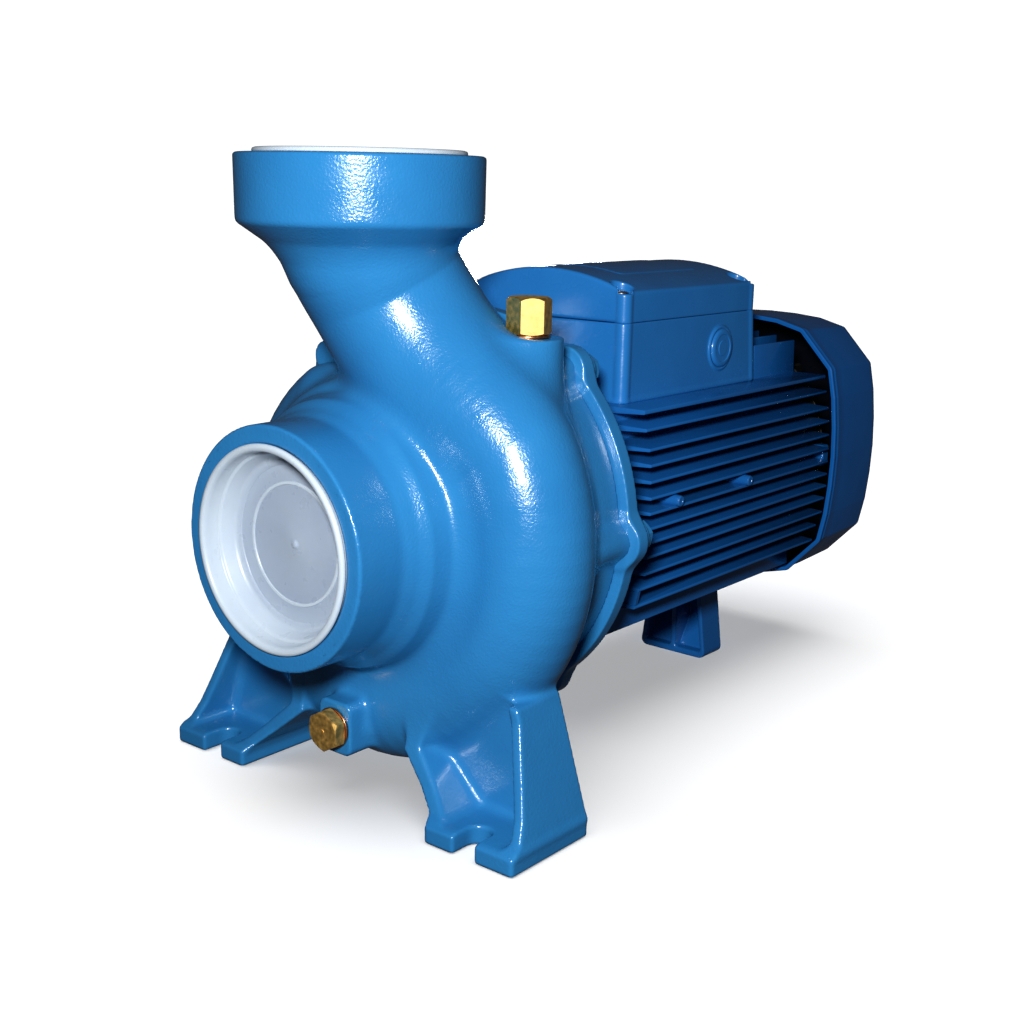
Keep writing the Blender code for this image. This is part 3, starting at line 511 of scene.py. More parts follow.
def enamel(name, grain_mm, grain_depth, peel_mm, peel_depth, low, high, coat=0.3, tone=CAST_TONE,
           inside=None):
    """Glossy blue enamel: patches of thicker and thinner paint over the grain of what is under it. Given an
    inside mask, shade is painted near-black there.
    """
    p = Paint(name)
    patches = p.noise(60, 3.0, 0.55)
    low_blue, blue, high_blue = ([a * b for a, b in zip(colour, tone)]
                                 for colour in (BLUE_LOW, BLUE, BLUE_HIGH))
    colour = p.ramp(patches, ((0.25, (*low_blue, 1)), (0.52, (*blue, 1)), (0.80, (*high_blue, 1))))
    # Painted shade: near-black where the mask marks the inside of the fan cover and its grille.
    if inside:
        colour = p.mix(inside(p), colour, PAINTED_SHADE_BLACK)
    grain = p.noise(grain_mm, 2.5, 0.55)
    pits = p.cells(grain_mm * 1.7)
    fine = p.math("ADD", grain, p.math("MULTIPLY", pits, 0.6))
    under = p.bump(p.noise(peel_mm, 2.0, 0.5), peel_depth)
    normal = p.bump(fine, grain_depth, under)
    rough = p.ramp(p.noise(9, 2.0), ((0.3, low), (0.7, high)))
    p.set(Coat_Weight=coat, Coat_Roughness=0.12, IOR=1.5)
    return p.finish(colour, rough, normal)


def metal(name, colour, dark, rough, line_mm, line_axis, depth=0.02, stain=0.35):
    """Machined metal: fine tool lines across one axis, with handling stains."""
    p = Paint(name)
    squeeze = 26.0
    scale = [1.0, 1.0, 1.0]
    scale[line_axis] = squeeze
    lines = p.noise(line_mm * squeeze, 3.0, 0.6, p.scaled(scale))
    patches = p.noise(4.5, 4.0, 0.6, bend=0.4)
    share = p.math("MULTIPLY", p.ramp(patches, ((0.42, 0.0), (0.72, 1.0))), stain)
    p.set(Metallic=1.0)
    shine = p.ramp(p.noise(3.0, 3.0), ((0.3, rough * 0.8), (0.7, rough * 1.25)))
    return p.finish(p.mix(share, colour, dark), shine, p.bump(lines, depth))


def plastic(name, colour, other, rough, grain_mm=0.9, depth=0.02, size_mm=16):
    p = Paint(name)
    blend = p.ramp(p.noise(size_mm, 3.0), ((0.35, 0.0), (0.7, 1.0)))
    shine = p.ramp(p.noise(5, 2.0), ((0.3, rough * 0.85), (0.7, rough * 1.2)))
    return p.finish(p.mix(blend, colour, other), shine, p.bump(p.noise(grain_mm, 2.0), depth))


def cap_plastic(name, across, centre):
    """Cloudy polyethylene: thin and greyer over a cap's floor, milky where the wall and rim are thicker, with
    a bright band on the floor's ring that is partly thicker plastic and partly a painted highlight.
    """
    p = Paint(name)
    gap = p.vectors("DISTANCE", p.vectors("MULTIPLY", p.place, across), centre)
    # The narrow bright band at about 33 to 35 mm is partly thicker plastic on the floor's ring and partly a
    # painted highlight of that ring.
    thickness_and_ring_highlight = p.ramp(p.math("MULTIPLY", gap, 10.0),
                   ((0.05, 0.30), (0.30, 0.12), (0.327, 0.12), (0.334, 0.95), (0.346, 0.95), (0.353, 0.20),
                    (0.45, 0.34), (0.52, 0.85), (0.57, 1.0)))
    cloud = p.math("ADD", thickness_and_ring_highlight, p.math("MULTIPLY", p.math("SUBTRACT", p.noise(24, 3.0), 0.5), 0.30))
    colour = p.ramp(cloud, ((0.0, (0.29, 0.345, 0.44, 1)), (1.0, (0.475, 0.545, 0.615, 1))))
    dust = p.math("MULTIPLY", p.ramp(p.noise(5.0, 5.0, 0.65), ((0.54, 0.0), (0.82, 1.0))), 0.10)
    p.set(Subsurface_Weight=0.30, Subsurface_Scale=0.004, IOR=1.5)
    p.shader.inputs["Subsurface Radius"].default_value = (0.9, 1.0, 1.2)
    shine = p.ramp(p.noise(7, 2.0), ((0.3, 0.26), (0.7, 0.38)))
    wavy = p.bump(p.noise(14, 2.0), 0.06)
    return p.finish(p.mix(dust, colour, (0.42, 0.33, 0.22)), shine, p.bump(p.noise(0.8, 2.0), 0.012, wavy))


def make_paints():
    made = {
        "cast": enamel("cast_enamel", 1.0, 0.15, 9.0, 0.05, 0.17, 0.27),
        # The fan cover's enamel: its tone darkens it as painted shade, and shade is painted near-black inside
        # the cover and in its grille.
        "sheet": enamel("sheet_enamel", 0.7, 0.012, 9.0, 0.04, 0.20, 0.28, coat=0.08,
                        tone=SHEET_SHADED_TONE, inside=painted_shade_in_cover),
        "drain_brass": metal("drain_brass_hex", (1.0, 0.66, 0.22), (0.62, 0.36, 0.09), 0.52, 0.35, 2),
        "brass": metal("brass_hex", (0.80, 0.54, 0.20), (0.42, 0.26, 0.08), 0.50, 0.35, 2),
        "bronze": metal("bronze_cast", (0.48, 0.32, 0.13), (0.24, 0.15, 0.07), 0.42, 1.2, 1, 0.06),
        "copper": metal("copper_ring", (0.72, 0.34, 0.18), (0.34, 0.15, 0.08), 0.32, 0.4, 1),
        "steel": metal("zinc_steel", (0.60, 0.60, 0.61), (0.34, 0.33, 0.31), 0.30, 0.5, 1),
        "ground": metal("ground_steel", (0.66, 0.66, 0.68), (0.50, 0.50, 0.51), 0.16, 0.3, 1, 0.008, 0.15),
        "laminated": metal("steel_laminations", (0.28, 0.28, 0.30), (0.13, 0.12, 0.12), 0.45, 0.5, 1, 0.15),
        "black": plastic("black_nylon", (0.012, 0.012, 0.013), (0.022, 0.022, 0.024), 0.42, 0.8, 0.03),
        "rubber": plastic("nitrile_rubber", (0.010, 0.010, 0.010), (0.019, 0.018, 0.018), 0.68, 0.5, 0.05),
        "ceramic": plastic("lapped_ceramic", (0.74, 0.71, 0.64), (0.66, 0.63, 0.57), 0.20, 0.4, 0.004),
    }
    # The frame's tone is painted shade: it darkens the enamel of the motor frame, end shield and rear foot.
    tones = (("smooth", "die_cast", CAST_TONE), ("box", "box", BOX_TONE), ("frame", "frame", FRAME_SHADED_TONE))
    for key, name, tone in tones:
        made[key] = enamel(f"{name}_enamel", 0.9, 0.030, 8.0, 0.05, 0.22, 0.32, tone=tone)
    ports = (("suction", (1, 0, 1), (0, 0, SHAFT_Z)), ("discharge", (1, 1, 0), (0, DISCHARGE_Y, 0)))
    for port, across, centre in ports:
        made[f"{port}_white"] = cap_plastic(f"{port}_cap_polyethylene", across,
                                            to_frame([centre])[0] * across)
    return made


PAINTS = make_paints()
BODY_OF = {node: name for name, group in frame["record"]["behaviour"]["bodies"].items() for node in group}


# ---------------------------------------------------------------- meshes


def linked(name, data):
    """A new object in the scene."""
    obj = bpy.data.objects.new(name, data)
    bpy.context.scene.collection.objects.link(obj)
    return obj


def show(name, mesh, paint, *nodes):
    """Puts a mesh in the scene in place of the CAD nodes it stands for, riding with their body."""
    obj = linked(name, mesh)
    mesh.materials.clear()
    mesh.materials.append(PAINTS[paint])
    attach(obj, BODY_OF[nodes[0]])
    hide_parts(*nodes)
    return obj


def mesh_of(name, verts, faces, normals=None, crease=35.0):
    mesh = bpy.data.meshes.new(name)
    faces = faces.tolist() if hasattr(faces, "tolist") else faces
    mesh.from_pydata(to_frame(verts).tolist(), [], faces)
    mesh.update()
    mesh.shade_smooth()
    if normals is not None:
        mesh.normals_split_custom_set_from_vertices(np.asarray(normals).tolist())
    elif crease:
        mesh.set_sharp_from_angle(angle=math.radians(crease))
    return mesh


def show_part(name, part, paint, node, crease=35.0):
    show(name, mesh_of(name, *part, crease=crease), paint, node)


def show_field(name, field, paint, node):
    show(name, mesh_of(name, *field.surface()), paint, node)


def shaded(mesh, crease):
    """The mesh shaded smooth, but sharp where its faces meet at more than the crease angle."""
    mesh.shade_smooth()
    mesh.set_sharp_from_angle(angle=math.radians(crease))
    return mesh


def turned(outline, axis, at, steps=96):
    """A turned shape's vertices and faces. The outline is radius and height, closed or from axis to axis."""
    a, b, h = PLANES[axis]
    closed = outline[0][0] > TINY or outline[-1][0] > TINY
    verts, rings = [], []
    for r, height in outline:
        ring = []
        for k in range(steps if r > TINY else 1):
            t = 2 * math.pi * k / steps
            p = [0.0, 0.0, 0.0]
            p[a], p[b], p[h] = at[0] + r * math.cos(t), at[1] + r * math.sin(t), height
            ring.append(len(verts))
            verts.append(p)
        rings.append(ring)
    faces = []
    pairs = list(zip(rings, rings[1:])) + ([(rings[-1], rings[0])] if closed else [])
    for one, two in pairs:
        for k in range(steps):
            m = (k + 1) % steps
            if len(one) == 1 and len(two) == 1:
                continue
            if len(one) == 1:
                faces.append((one[0], two[k], two[m]))
            elif len(two) == 1:
                faces.append((one[k], two[0], one[m]))
            else:
                faces.append((one[k], two[k], two[m], one[m]))
    return faced(verts, faces)


def faced(verts, faces):
    """The same mesh with every face looking outwards."""
    bm = bmesh.new()
    made = [bm.verts.new(v) for v in verts]
    for face in faces:
        bm.faces.new([made[i] for i in face])
    bmesh.ops.recalc_face_normals(bm, faces=bm.faces)
    bm.verts.index_update()
    out = [tuple(v.index for v in f.verts) for f in bm.faces]
    bm.free()
    return verts, out


def joined(*parts):
    verts, faces = [], []
    for v, f in parts:
        base = len(verts)
        verts += [tuple(p) for p in v]
        faces += [tuple(i + base for i in face) for face in f]
    return verts, faces


def moved(part, matrix):
    return [tuple(matrix @ Vector(v)) for v in part[0]], part[1]


def extruded(outline, holes, axis, h0, h1):
    """A straight solid of an outline with holes."""
    a, b, h = PLANES[axis]
    loops = [outline, *holes]
    flat = [p for loop in loops for p in loop]
    tris = tessellate_polygon([[Vector((u, v, 0)) for u, v in loop] for loop in loops])
    verts = []
    for height in (h0, h1):
        for u, v in flat:
            p = [0.0, 0.0, 0.0]
            p[a], p[b], p[h] = u, v, height
            verts.append(p)
    n = len(flat)
    faces = [tuple(t) for t in tris] + [tuple(i + n for i in reversed(t)) for t in tris]
    base = 0
    for loop in loops:
        m = len(loop)
        for i in range(m):
            j = (i + 1) % m
            faces.append((base + i, base + j, base + j + n, base + i + n))
        base += m
    return faced(verts, faces)


def result_of(target, tools=()):
    """The mesh that an object's modifiers leave. The object and its tools go."""
    bpy.context.view_layer.update()
    graph = bpy.context.evaluated_depsgraph_get()
    result = bpy.data.meshes.new_from_object(target.evaluated_get(graph))
    for obj in (target, *tools):
        bpy.data.objects.remove(obj)
    return result


def boolean(mesh, others, operation="DIFFERENCE"):
    """The mesh with others cut from it or joined to it."""
    target, tools = linked("target", mesh), [linked("tool", other) for other in others]
    for tool in tools:
        step = target.modifiers.new("step", "BOOLEAN")
        step.operation, step.solver, step.object = operation, "EXACT", tool
    return result_of(target, tools)


def bevelled(name, part, width_mm):
    """A mesh of that part with its sharp edges rounded."""
    target = linked("target", mesh_of(name, *part))
    step = target.modifiers.new("round", "BEVEL")
    step.width, step.segments, step.limit_method = width_mm * MM, 2, "ANGLE"
    step.angle_limit = math.radians(60)
    step.harden_normals = False
    return shaded(result_of(target), 40)


def hexagon_head(across, h0, h1, low_chamfer, high_chamfer, bore=0.0, per_side=8):
    """A hexagon bar end along +Z with its corners turned down. Chamfers are the drop at the corners."""
    rings = []
    corner = across / math.sqrt(3)
    flat = across / 2

    def edge(height, drop, sign):
        ring = []
        for side in range(6):
            a, b = (math.radians(60 * (side + k)) for k in (0, 1))
            for k in range(per_side):
                t = k / per_side
                x = corner * (math.cos(a) * (1 - t) + math.cos(b) * t)
                y = corner * (math.sin(a) * (1 - t) + math.sin(b) * t)
                over = max(0.0, (math.hypot(x, y) - flat) / (corner - flat))
                ring.append((x, y, height + sign * drop * over ** 1.1))
        return ring

    def round_ring(radius, height):
        return [(x, y, height) for x, y in circle(0, 0, radius, 6 * per_side)]

    if low_chamfer:
        rings.append(round_ring(flat * 0.96, h0))
        rings.append(edge(h0 + 0.15, low_chamfer, 1))
    else:
        rings.append(edge(h0, 0, 1))
    rings.append(edge(h1 - 0.15, high_chamfer, -1))
    rings.append(round_ring(flat * 0.96, h1))
    if bore:
        rings.append(round_ring(bore, h1))
        rings.append(round_ring(bore, h0))
    verts = [p for ring in rings for p in ring]
    n = 6 * per_side
    faces = []
    for i in range(len(rings) - 1 + (1 if bore else 0)):
        a, b = i * n, ((i + 1) % len(rings)) * n
        for k in range(n):
            m = (k + 1) % n
            faces.append((a + k, a + m, b + m, b + k))
    if not bore:
        faces.append(tuple(range(n)))
        faces.append(tuple(range((len(rings) - 1) * n, len(rings) * n)))
    return faced(verts, faces)


# ---------------------------------------------------------------- pump casing

VOLUTE_Y = 58.0
VOLUTE_IN = 66.0
WALL = 7.5
VOLUTE_ANGLES = (-230, -180, -140, -90, -50, -10, 30)
VOLUTE_RADII = (20.6, 24.8, 33.5, 39.5, 36.2, 35.5, 35.5)
NECK = ((68.0, 57.5, 228, 40.0), (39.5, 56.5, 248, 44.6), (20.2, 51.5, 270, 45.2), (7.0, 43.5, 295, 45.0),
        (3.0, 35.0, 315, 46.8), (0.0, 30.2, 334, 49.0))
FOOT_IN = 76.0
FOOT_OUT = 139.0
FOOT_L = 67.0
FOOT_T = 10.5
FOOT_TOP = 80.0
SLOT_X = 105.0
SLOT_R = 7.5
SLOT_END = 20.0
FOOT_LEAN = 0.32


def volute_line(shrink):
    """Rows of X, Y, Z and radius along the volute and up the neck."""
    rows = []
    for angle in np.arange(VOLUTE_ANGLES[0], VOLUTE_ANGLES[-1] + 1, 5.0):
        r = float(np.interp(angle, VOLUTE_ANGLES, VOLUTE_RADII))
        x, z = around(angle, VOLUTE_IN + r)
        rows.append((x, VOLUTE_Y, z, r))
    rows = np.array(rows)
    rows[2:-2, 3] = (rows[:-4, 3] + rows[1:-3, 3] + rows[2:-2, 3] + rows[3:-1, 3] + rows[4:, 3]) / 5
    rows = np.vstack([rows, bent(np.vstack([rows[-1], NECK]), 6)[1:]])
    rows[:, 3] -= shrink
    return rows[:, :3], rows[:, 3]


def build_casing():
    field = Field((-142, -42, -3), (142, 125, 371), 1.5)
    body = fillet([(-40, SUCTION_Y), (PORT_R, SUCTION_Y), (PORT_R, -8), (72, 1), (76.5, 7), (77.5, 11.5),
                   (79.5, 19), (85, 25), (92, 44), (100, 74), (109, 83), (DRUM_R, 87.5), (DRUM_R, JOINT_Y),
                   (-40, JOINT_Y)], (0, 0.7, 12, 14, 6, 7, 10, 12, 20, 18, 10, 8, 0.6, 0), 6)
    field.add(spun("Y", (0, SHAFT_Z), body))
    field.add(sweep(*volute_line(0)), 13)
    port = fillet([(-40, 298), (35, 298), (40.5, 311), (52, 320.5), (PORT_R - 0.4, 331.3),
                   (PORT_R, DISCHARGE_Z), (-40, DISCHARGE_Z)], (0, 4, 10, 14, 4, 1.3, 0), 6)
    field.add(spun("Z", (0, DISCHARGE_Y), port), 7)
    for angle in BOLT_ANGLES:
        field.add(pipe("Y", around(angle), CASING_EAR_R, 70, JOINT_Y, 0.6), 7)
    # The lug behind the neck reaches further round than the other lugs.
    field.add(pipe("Y", around(141, 121), CASING_EAR_R + 5, 95, JOINT_Y, 0.6), 8)
    field.add(pipe("Z", FILLER[:2], 19.5, 190, FILLER[2], 0.8), 13)
    web = [(30, 190), (88, 190), (84, 240), (76, 264), (66, 262), (52, 250), (38, 252)]
    field.add(slab("Y", fillet(web, 8), 63, 90, 6), 12)
    field.add(slab("Y", fillet(rectangle(-13, 29.5, 13, 61.5), 5), DRAIN[1], 50, 1.0), 5)
    field.add(slab("X", fillet([(18, 40), (50, 40), (50, 75), (34, 75)], 4), -11, 11, 3), 8)
    # Feet: two webs, a back wall and a slotted plate each.
    r = SLOT_R
    for side in (1, -1):
        wedge = [(FOOT_OUT, FOOT_T), (FOOT_OUT - FOOT_LEAN * (FOOT_TOP - FOOT_T), FOOT_TOP), (52, FOOT_TOP),
                 (42, 40), (FOOT_IN, FOOT_T)]
        solid = slab("Y", fillet(mirrored(wedge, side), 2.0), 4, FOOT_L, 1.2)[0]

        def carved(x, y, z, solid=solid, side=side):
            """The foot's wedge without its front slope and its two pockets."""
            d = solid(x, y, z)
            slope = fillet([(-30, FOOT_T), (0.8, FOOT_T), (8.2, 14.6), (14.2, 25), (18.6, 38), (29, 72),
                            (29, 140), (-30, 140)], 6)
            d = -smooth_min(-d, polygon_distance(y, z, slope) + 0 * x, 1.8)
            recess = fillet(mirrored([(FOOT_OUT - 7.2, FOOT_T),
                                      (FOOT_OUT - 7.2 - FOOT_LEAN * 90, FOOT_TOP + 20), (62, FOOT_TOP + 20),
                                      (54, 42.5), (FOOT_IN + 11.0, FOOT_T)], side), 4.5)
            hollow = polygon_distance(x, z, recess)
            front = -smooth_min(-hollow - 0 * y, 39 - y - 0 * hollow, 7.0)
            back = np.maximum(hollow + 0 * y, 47.5 - y)
            d = -smooth_min(-d, front, 2.4)
            return -smooth_min(-d, back, 2.4)

        plate = slab("Z", fillet(mirrored(rectangle(FOOT_IN, 0, FOOT_OUT, FOOT_L), side), 2.0), 0, FOOT_T,
                     1.1)
        notch = [(r, -9), (r, SLOT_END - r)]
        turns = (math.pi * k / 12 for k in range(1, 12))
        notch += [(r * math.cos(t), SLOT_END + r * (math.sin(t) - 1)) for t in turns]
        notch += [(-r, SLOT_END - r), (-r, -9)]
        slot = slab("Z", [(side * SLOT_X + a, b) for a, b in notch], -9, 26)

        def foot(x, y, z, carved=carved, plate=plate[0], slot=slot[0]):
            d = smooth_min(carved(x, y, z), plate(x, y, z), 5)
            return -smooth_min(-d, slot(x, y, z), 1.6)

        near, far = sorted((side * 40, side * 140))
        field.add((foot, np.array([near, -1, -1]), np.array([far, 69, 84])), 7)
    # Waterways and machined holes.
    socket = SUCTION_Y + SOCKET_DEPTH
    way = [(-40, 140), (SPIGOT_R + 0.3, 140), (SPIGOT_R + 0.3, 84), (86, 84), (86, 32), (46, 30), (46, 16),
           (53, socket), (SOCKET_R, socket), (SOCKET_R, SUCTION_Y + 2), (SOCKET_R + 2, SUCTION_Y),
           (SOCKET_R + 2, -60), (-40, -60)]
    field.cut(spun("Y", (0, SHAFT_Z), way))
    field.cut(sweep(*volute_line(WALL)), 3)
    top = DISCHARGE_Z
    bore = [(-40, top + 20), (SOCKET_R + 2, top + 20), (SOCKET_R + 2, top), (SOCKET_R, top - 2),
            (SOCKET_R, top - SOCKET_DEPTH), (50, top - SOCKET_DEPTH), (49, 332), (40, 314), (-40, 314)]
    field.cut(spun("Z", (0, DISCHARGE_Y), bore))
    field.cut(pipe("Z", FILLER[:2], 10.6, 200, 280))
    field.cut(pipe("Z", FILLER[:2], 14.0, FILLER[2], 305))
    field.cut(pipe("Y", (0, DRAIN[2]), 10.6, -5, 52))
    for angle in BOLT_ANGLES:
        field.cut(pipe("Y", around(angle), 5.0, 96, 130))
    show_field("volute_casing_cast", field, "cast", "volute_casing")


build_casing()


# ---------------------------------------------------------------- bracket, bolts and plugs


def build_bracket():
    field = Field((-140, 84, 22), (140, 189, 298), 1.3)
    shell = fillet([(61.5, 187), (61.5, 180.7), (73, 180.7), (73, 172), (83, 137), (91, 131.5),
                    (FLANGE_R, 131.5), (FLANGE_R, JOINT_Y + 0.3), (SPIGOT_R, JOINT_Y + 0.3), (SPIGOT_R, 110),
                    (96.6, 110), (96.6, 105.4), (SPIGOT_R, 105.4), (SPIGOT_R, 86.5), (19, 86.5), (19, 107.6),
                    (13, 107.6), (13, 112), (32, 112), (36, 97), (86, 97), (86, 116), (66, 158), (25, 158),
                    (25, 161.7), (31.3, 161.7), (31.3, 179), (55, 187)],
                   (0, 0, 1.5, 5, 10, 8, 1.0, 0.4, 0, 0, 0, 0, 0, 0, 0, 0, 0, 0, 3, 3, 3, 6, 6, 0, 0, 0, 0,
                    0), 4)
    field.add(spun("Y", (0, SHAFT_Z), shell))
    for angle in BOLT_ANGLES:
        field.add(pipe("Y", around(angle), EAR_R + 0.2, JOINT_Y + 0.3, 131.5, 0.6), 6)
        field.add(pipe("Y", around(angle), EAR_R - 3.5, JOINT_Y + 6, 139, 1.6), 3)
        # A rib runs from each ear down to the cone.
        t = math.radians(angle)

        def rib(px, py, pz, t=t):
            along = px * math.cos(t) + (pz - SHAFT_Z) * math.sin(t)
            aside = np.abs(-px * math.sin(t) + (pz - SHAFT_Z) * math.cos(t)) - 3.2
            outline = [(60, 126), (110, 126), (104, 134), (78, 158), (60, 158)]
            return np.maximum(polygon_distance(along + 0 * py, py + 0 * along, outline), aside)

        field.add((rib, np.array([-112, 126, 48]), np.array([112, 158, 272])), 5)
    for rod in RODS:
        field.add(pipe("Y", rod, 8, 160, 180.6, 0.8), 4)
        field.cut(pipe("Y", rod, ROD_HOLE_R, 166, 200))
    for angle in BOLT_ANGLES:
        field.cut(pipe("Y", around(angle), 5.5, 117, 150))
    field.cut(slab("Y", fillet(rectangle(-9, 70, 9, 130), 3), 136, 152), 2)
    # The flange joint shows as a fine line: the bracket stops 0.3 mm short of the casing.
    field.cut(slab("Y", rectangle(-200, -40, 200, 360), 60, 86.5))
    show_field("motor_bracket_cast", field, "smooth", "motor_bracket")


def turn_to(direction, at):
    """Stands +Z along a direction at a point."""
    return Matrix.Translation(at) @ Vector(direction).to_track_quat("Z", "Y").to_matrix().to_4x4()


def thread_turns(first, last, pitch, root, crest, rise, land):
    """The outline of a thread between two heights: each turn rises from its root to a land, and falls."""
    made = []
    h = first
    while h < last:
        made += [(root, h), (crest, h + rise), (crest, h + rise + land), (root, h + 2 * rise + land)]
        h += pitch
    return made


def build_bolts():
    head = hexagon_head(16, 140.6, 145.6, 0, 0.8)
    washer = turned([(0, 139.3), (8.3, 139.3), (8.6, 139.7), (8.2, 140.4), (7.4, 140.8), (0, 140.8)], "Z",
                    (0, 0), 48)
    shank = turned([(0, 98), (4.4, 98), (4.9, 98.6), (4.9, 139.4), (0, 139.4)], "Z", (0, 0), 24)
    part = joined(head, washer, shank)
    for i, angle in enumerate(BOLT_ANGLES):
        x, z = around(angle)
        turn = turn_to((0, 1, 0), (x, 0, z)) @ Matrix.Rotation(math.radians(30 + 13 * i), 4, "Z")
        show_part(f"casing_bolt_{i + 1}_hex", moved(part, turn), "cast", f"casing_bolt_{i + 1}", 28)


def build_plug(end, head, at, direction, spin, slim, paint):
    across = 22.0
    base = 1.8
    top = hexagon_head(across, base, head, 0.9, slim)
    thread = [(0, -13), (8.6, -13), *thread_turns(-12.2, -1.2, 1.814, 9.0, 10.2, 0.75, 0.2), (8.8, -0.6),
              (8.8, base + 0.4), (0, base + 0.4)]
    part = joined(top, turned(thread, "Z", (0, 0), 64))
    if head < 12:
        dot = turned([(0, head - 0.2), (1.5, head - 0.2), (1.3, head + 0.22), (0, head + 0.3)], "Z", (0, 0),
                     24)
        part = joined(part, dot)
    stand = turn_to(direction, at)
    turn = stand @ Matrix.Rotation(math.radians(spin), 4, "Z")
    show_part(f"{end}_plug_hex", moved(part, turn), paint, f"{end}_plug", 24)
    ring = turned(fillet(rectangle(10.6, 0.3, 12.1, 1.6), 0.35, 4), "Z", (0, 0), 72)
    show_part(f"{end}_plug_washer_ring", moved(ring, stand), "copper", f"{end}_plug_washer")


def build_cap(port, axis, at, face, sign):
    """A thin moulded dish: rim, tapered wall, and a floor with raised rings and a centre nub."""
    dish = [(0, 16.5), (1.0, 16.55), (1.8, 16.9), (2.4, 17.4), (3.4, 17.6), (32.9, 17.6), (33.3, 17.0),
            (34.7, 17.0), (35.1, 17.6), (44.0, 17.6), (44.4, 17.1), (46.6, 17.0), (48.0, 16.4), (49.0, 15.0),
            (51.0, 8.6), (51.5, 7.9), (52.4, 7.6), (52.8, 7.0), (53.3, 0.6), (53.8, -1.6), (54.6, -2.5),
            (56.2, -2.7), (57.5, -2.3), (58.0, -1.2), (57.8, -0.3), (56.5, 0.2), (56.1, 1.4), (55.7, 12),
            (55.2, 17.2), (54.0, 18.8), (52.6, 19.1), (0, 19.1)]
    outline = [(r, face - sign * depth) for r, depth in dish]
    show_part(f"{port}_cap_dish", turned(outline, axis, at, 144), f"{port}_white", f"{port}_port_cap", 50)


build_bracket()
build_bolts()
build_plug("filler", 22.0, FILLER, (0, 0, 1), -12, 1.5, "brass")
build_plug("drain", 9.5, DRAIN, (0, -1, 0), 30, 1.1, "drain_brass")
build_cap("suction", "Y", (0, SHAFT_Z), SUCTION_Y, -1)
build_cap("discharge", "Z", (0, DISCHARGE_Y), DISCHARGE_Z, 1)

# ---------------------------------------------------------------- motor frame

FINS = ((208.6, 89.9), (196.7, 92.7), (187.0, 93.9), (176.8, 94.4), (166.6, 94.9), (157.0, 95.0),
        (147.5, 95.0), (138.5, 95.0), (129.0, 94.0), (118.2, 92.9), (107.2, 88.9), (95.4, 86.5))
DECK_Z = 221.0
DECK_X = 88.0
KEEL_Z = 73.3
KEEL_X = 66.7


def frame_side():
    """The frame's right half from the bottom centre to the top, seen from the front: keel, fins and deck."""
    points = [(0, 83.5), (58.5, 83.5), (60, KEEL_Z), (KEEL_X, KEEL_Z), (KEEL_X - 1.2, 87.5)]
    radii = [0, 2, 1.0, 1.0, 2]
    for z, x in reversed(FINS):
        core = 64.3 if z > 100 else 63.0
        for at, height, r in ((core, -2.3, 1.6), (x, -1.0, 0.9), (x, 1.0, 0.9), (core, 2.3, 1.6)):
            points.append((at, z + height))
            radii.append(r)
    points += [(64.3, 217.0), (DECK_X, 218.2), (DECK_X, DECK_Z), (0, DECK_Z)]
    radii += [1.6, 0.9, 0.9, 0]
    return fillet(points, radii, 3)


def frame_fins_slant(verts):
    """The front ends of the side fins slope back a little towards their tips."""
    verts = np.array(verts, float)
    out = np.clip((np.abs(verts[:, 0]) - 68) / 26, 0, 1)
    verts[:, 1] += out * 3.0 * (verts[:, 1] < FRAME_Y0 + 1)
    return verts


def build_frame():
    half = frame_side()
    outline = half + [(-x, z) for x, z in reversed(half) if x > TINY]
    holes = [circle(0, SHAFT_Z, 62, 96), *(circle(x, z, ROD_HOLE_R, 16) for x, z in RODS)]
    verts, faces = extruded(outline, holes, "Y", FRAME_Y0, FRAME_Y1 - 0.3)
    body = bevelled("frame_body", (frame_fins_slant(verts), faces), 0.5)
    block = extruded(fillet(rectangle(-60.4, KEEL_Z + 0.05, 60.4, 86), 1.0), [], "Y", 358, FRAME_Y1 - 0.5)
    extras = [bevelled("keel_block", block, 0.8)]
    for k in range(-4, 5):
        x = 15 * k
        top = 250.5 - 6 * (k / 4) ** 2
        fin = fillet([(x - 2.3, DECK_Z - 2), (x - 1.9, DECK_Z + 2), (x - 1.2, top), (x + 1.2, top),
                      (x + 1.9, DECK_Z + 2), (x + 2.3, DECK_Z - 2)], (0, 1, 0.9, 0.9, 1, 0), 3)
        extras.append(bevelled(f"top_fin_{k + 4}", extruded(fin, [], "Y", 359.3, FRAME_Y1 - 1), 0.5))
    for side in (1, -1):
        for y, z in ((214, 161.0), (300, 161.0)):
            pin = [(0, 60), (4.0, 60), (3.8, 93), (3.5, 97.0), (2.9, 97.8), (1.6, 97.8), (1.4, 97.4),
                   (0, 97.4)]
            part = moved(turned(pin, "Z", (0, 0), 28), turn_to((side, 0, 0), (0, y, z)))
            extras.append(mesh_of(f"frame_pin_{side}_{y}", *part))
        rib = fillet(mirrored([(66, 106.5), (88.2, 106.5), (86.2, 96.5), (66, 96.5)], side), 0.8, 3)
        extras.append(mesh_of(f"end_rib_{side}", *extruded(rib, [], "Y", FRAME_Y0 + 2.6, FRAME_Y0 + 5.4)))
    whole = boolean(body, extras, "UNION")
    drills = [mesh_of("drill", *turned([(0, 60), (ROD_HOLE_R, 60), (ROD_HOLE_R, 84.4), (0, 84.4)], "Z",
                                       (side * FOOT_SCREW_X, FOOT_SCREW_Y), 32)) for side in (-1, 1)]
    drills.append(mesh_of("wire_way", *turned([(0, 200), (9, 200), (9, 235), (0, 235)], "Z", WIRE_WAY, 48)))
    show("motor_frame_finned", shaded(boolean(whole, drills), 32), "frame", "motor_frame")


build_frame()

# ---------------------------------------------------------------- terminal box

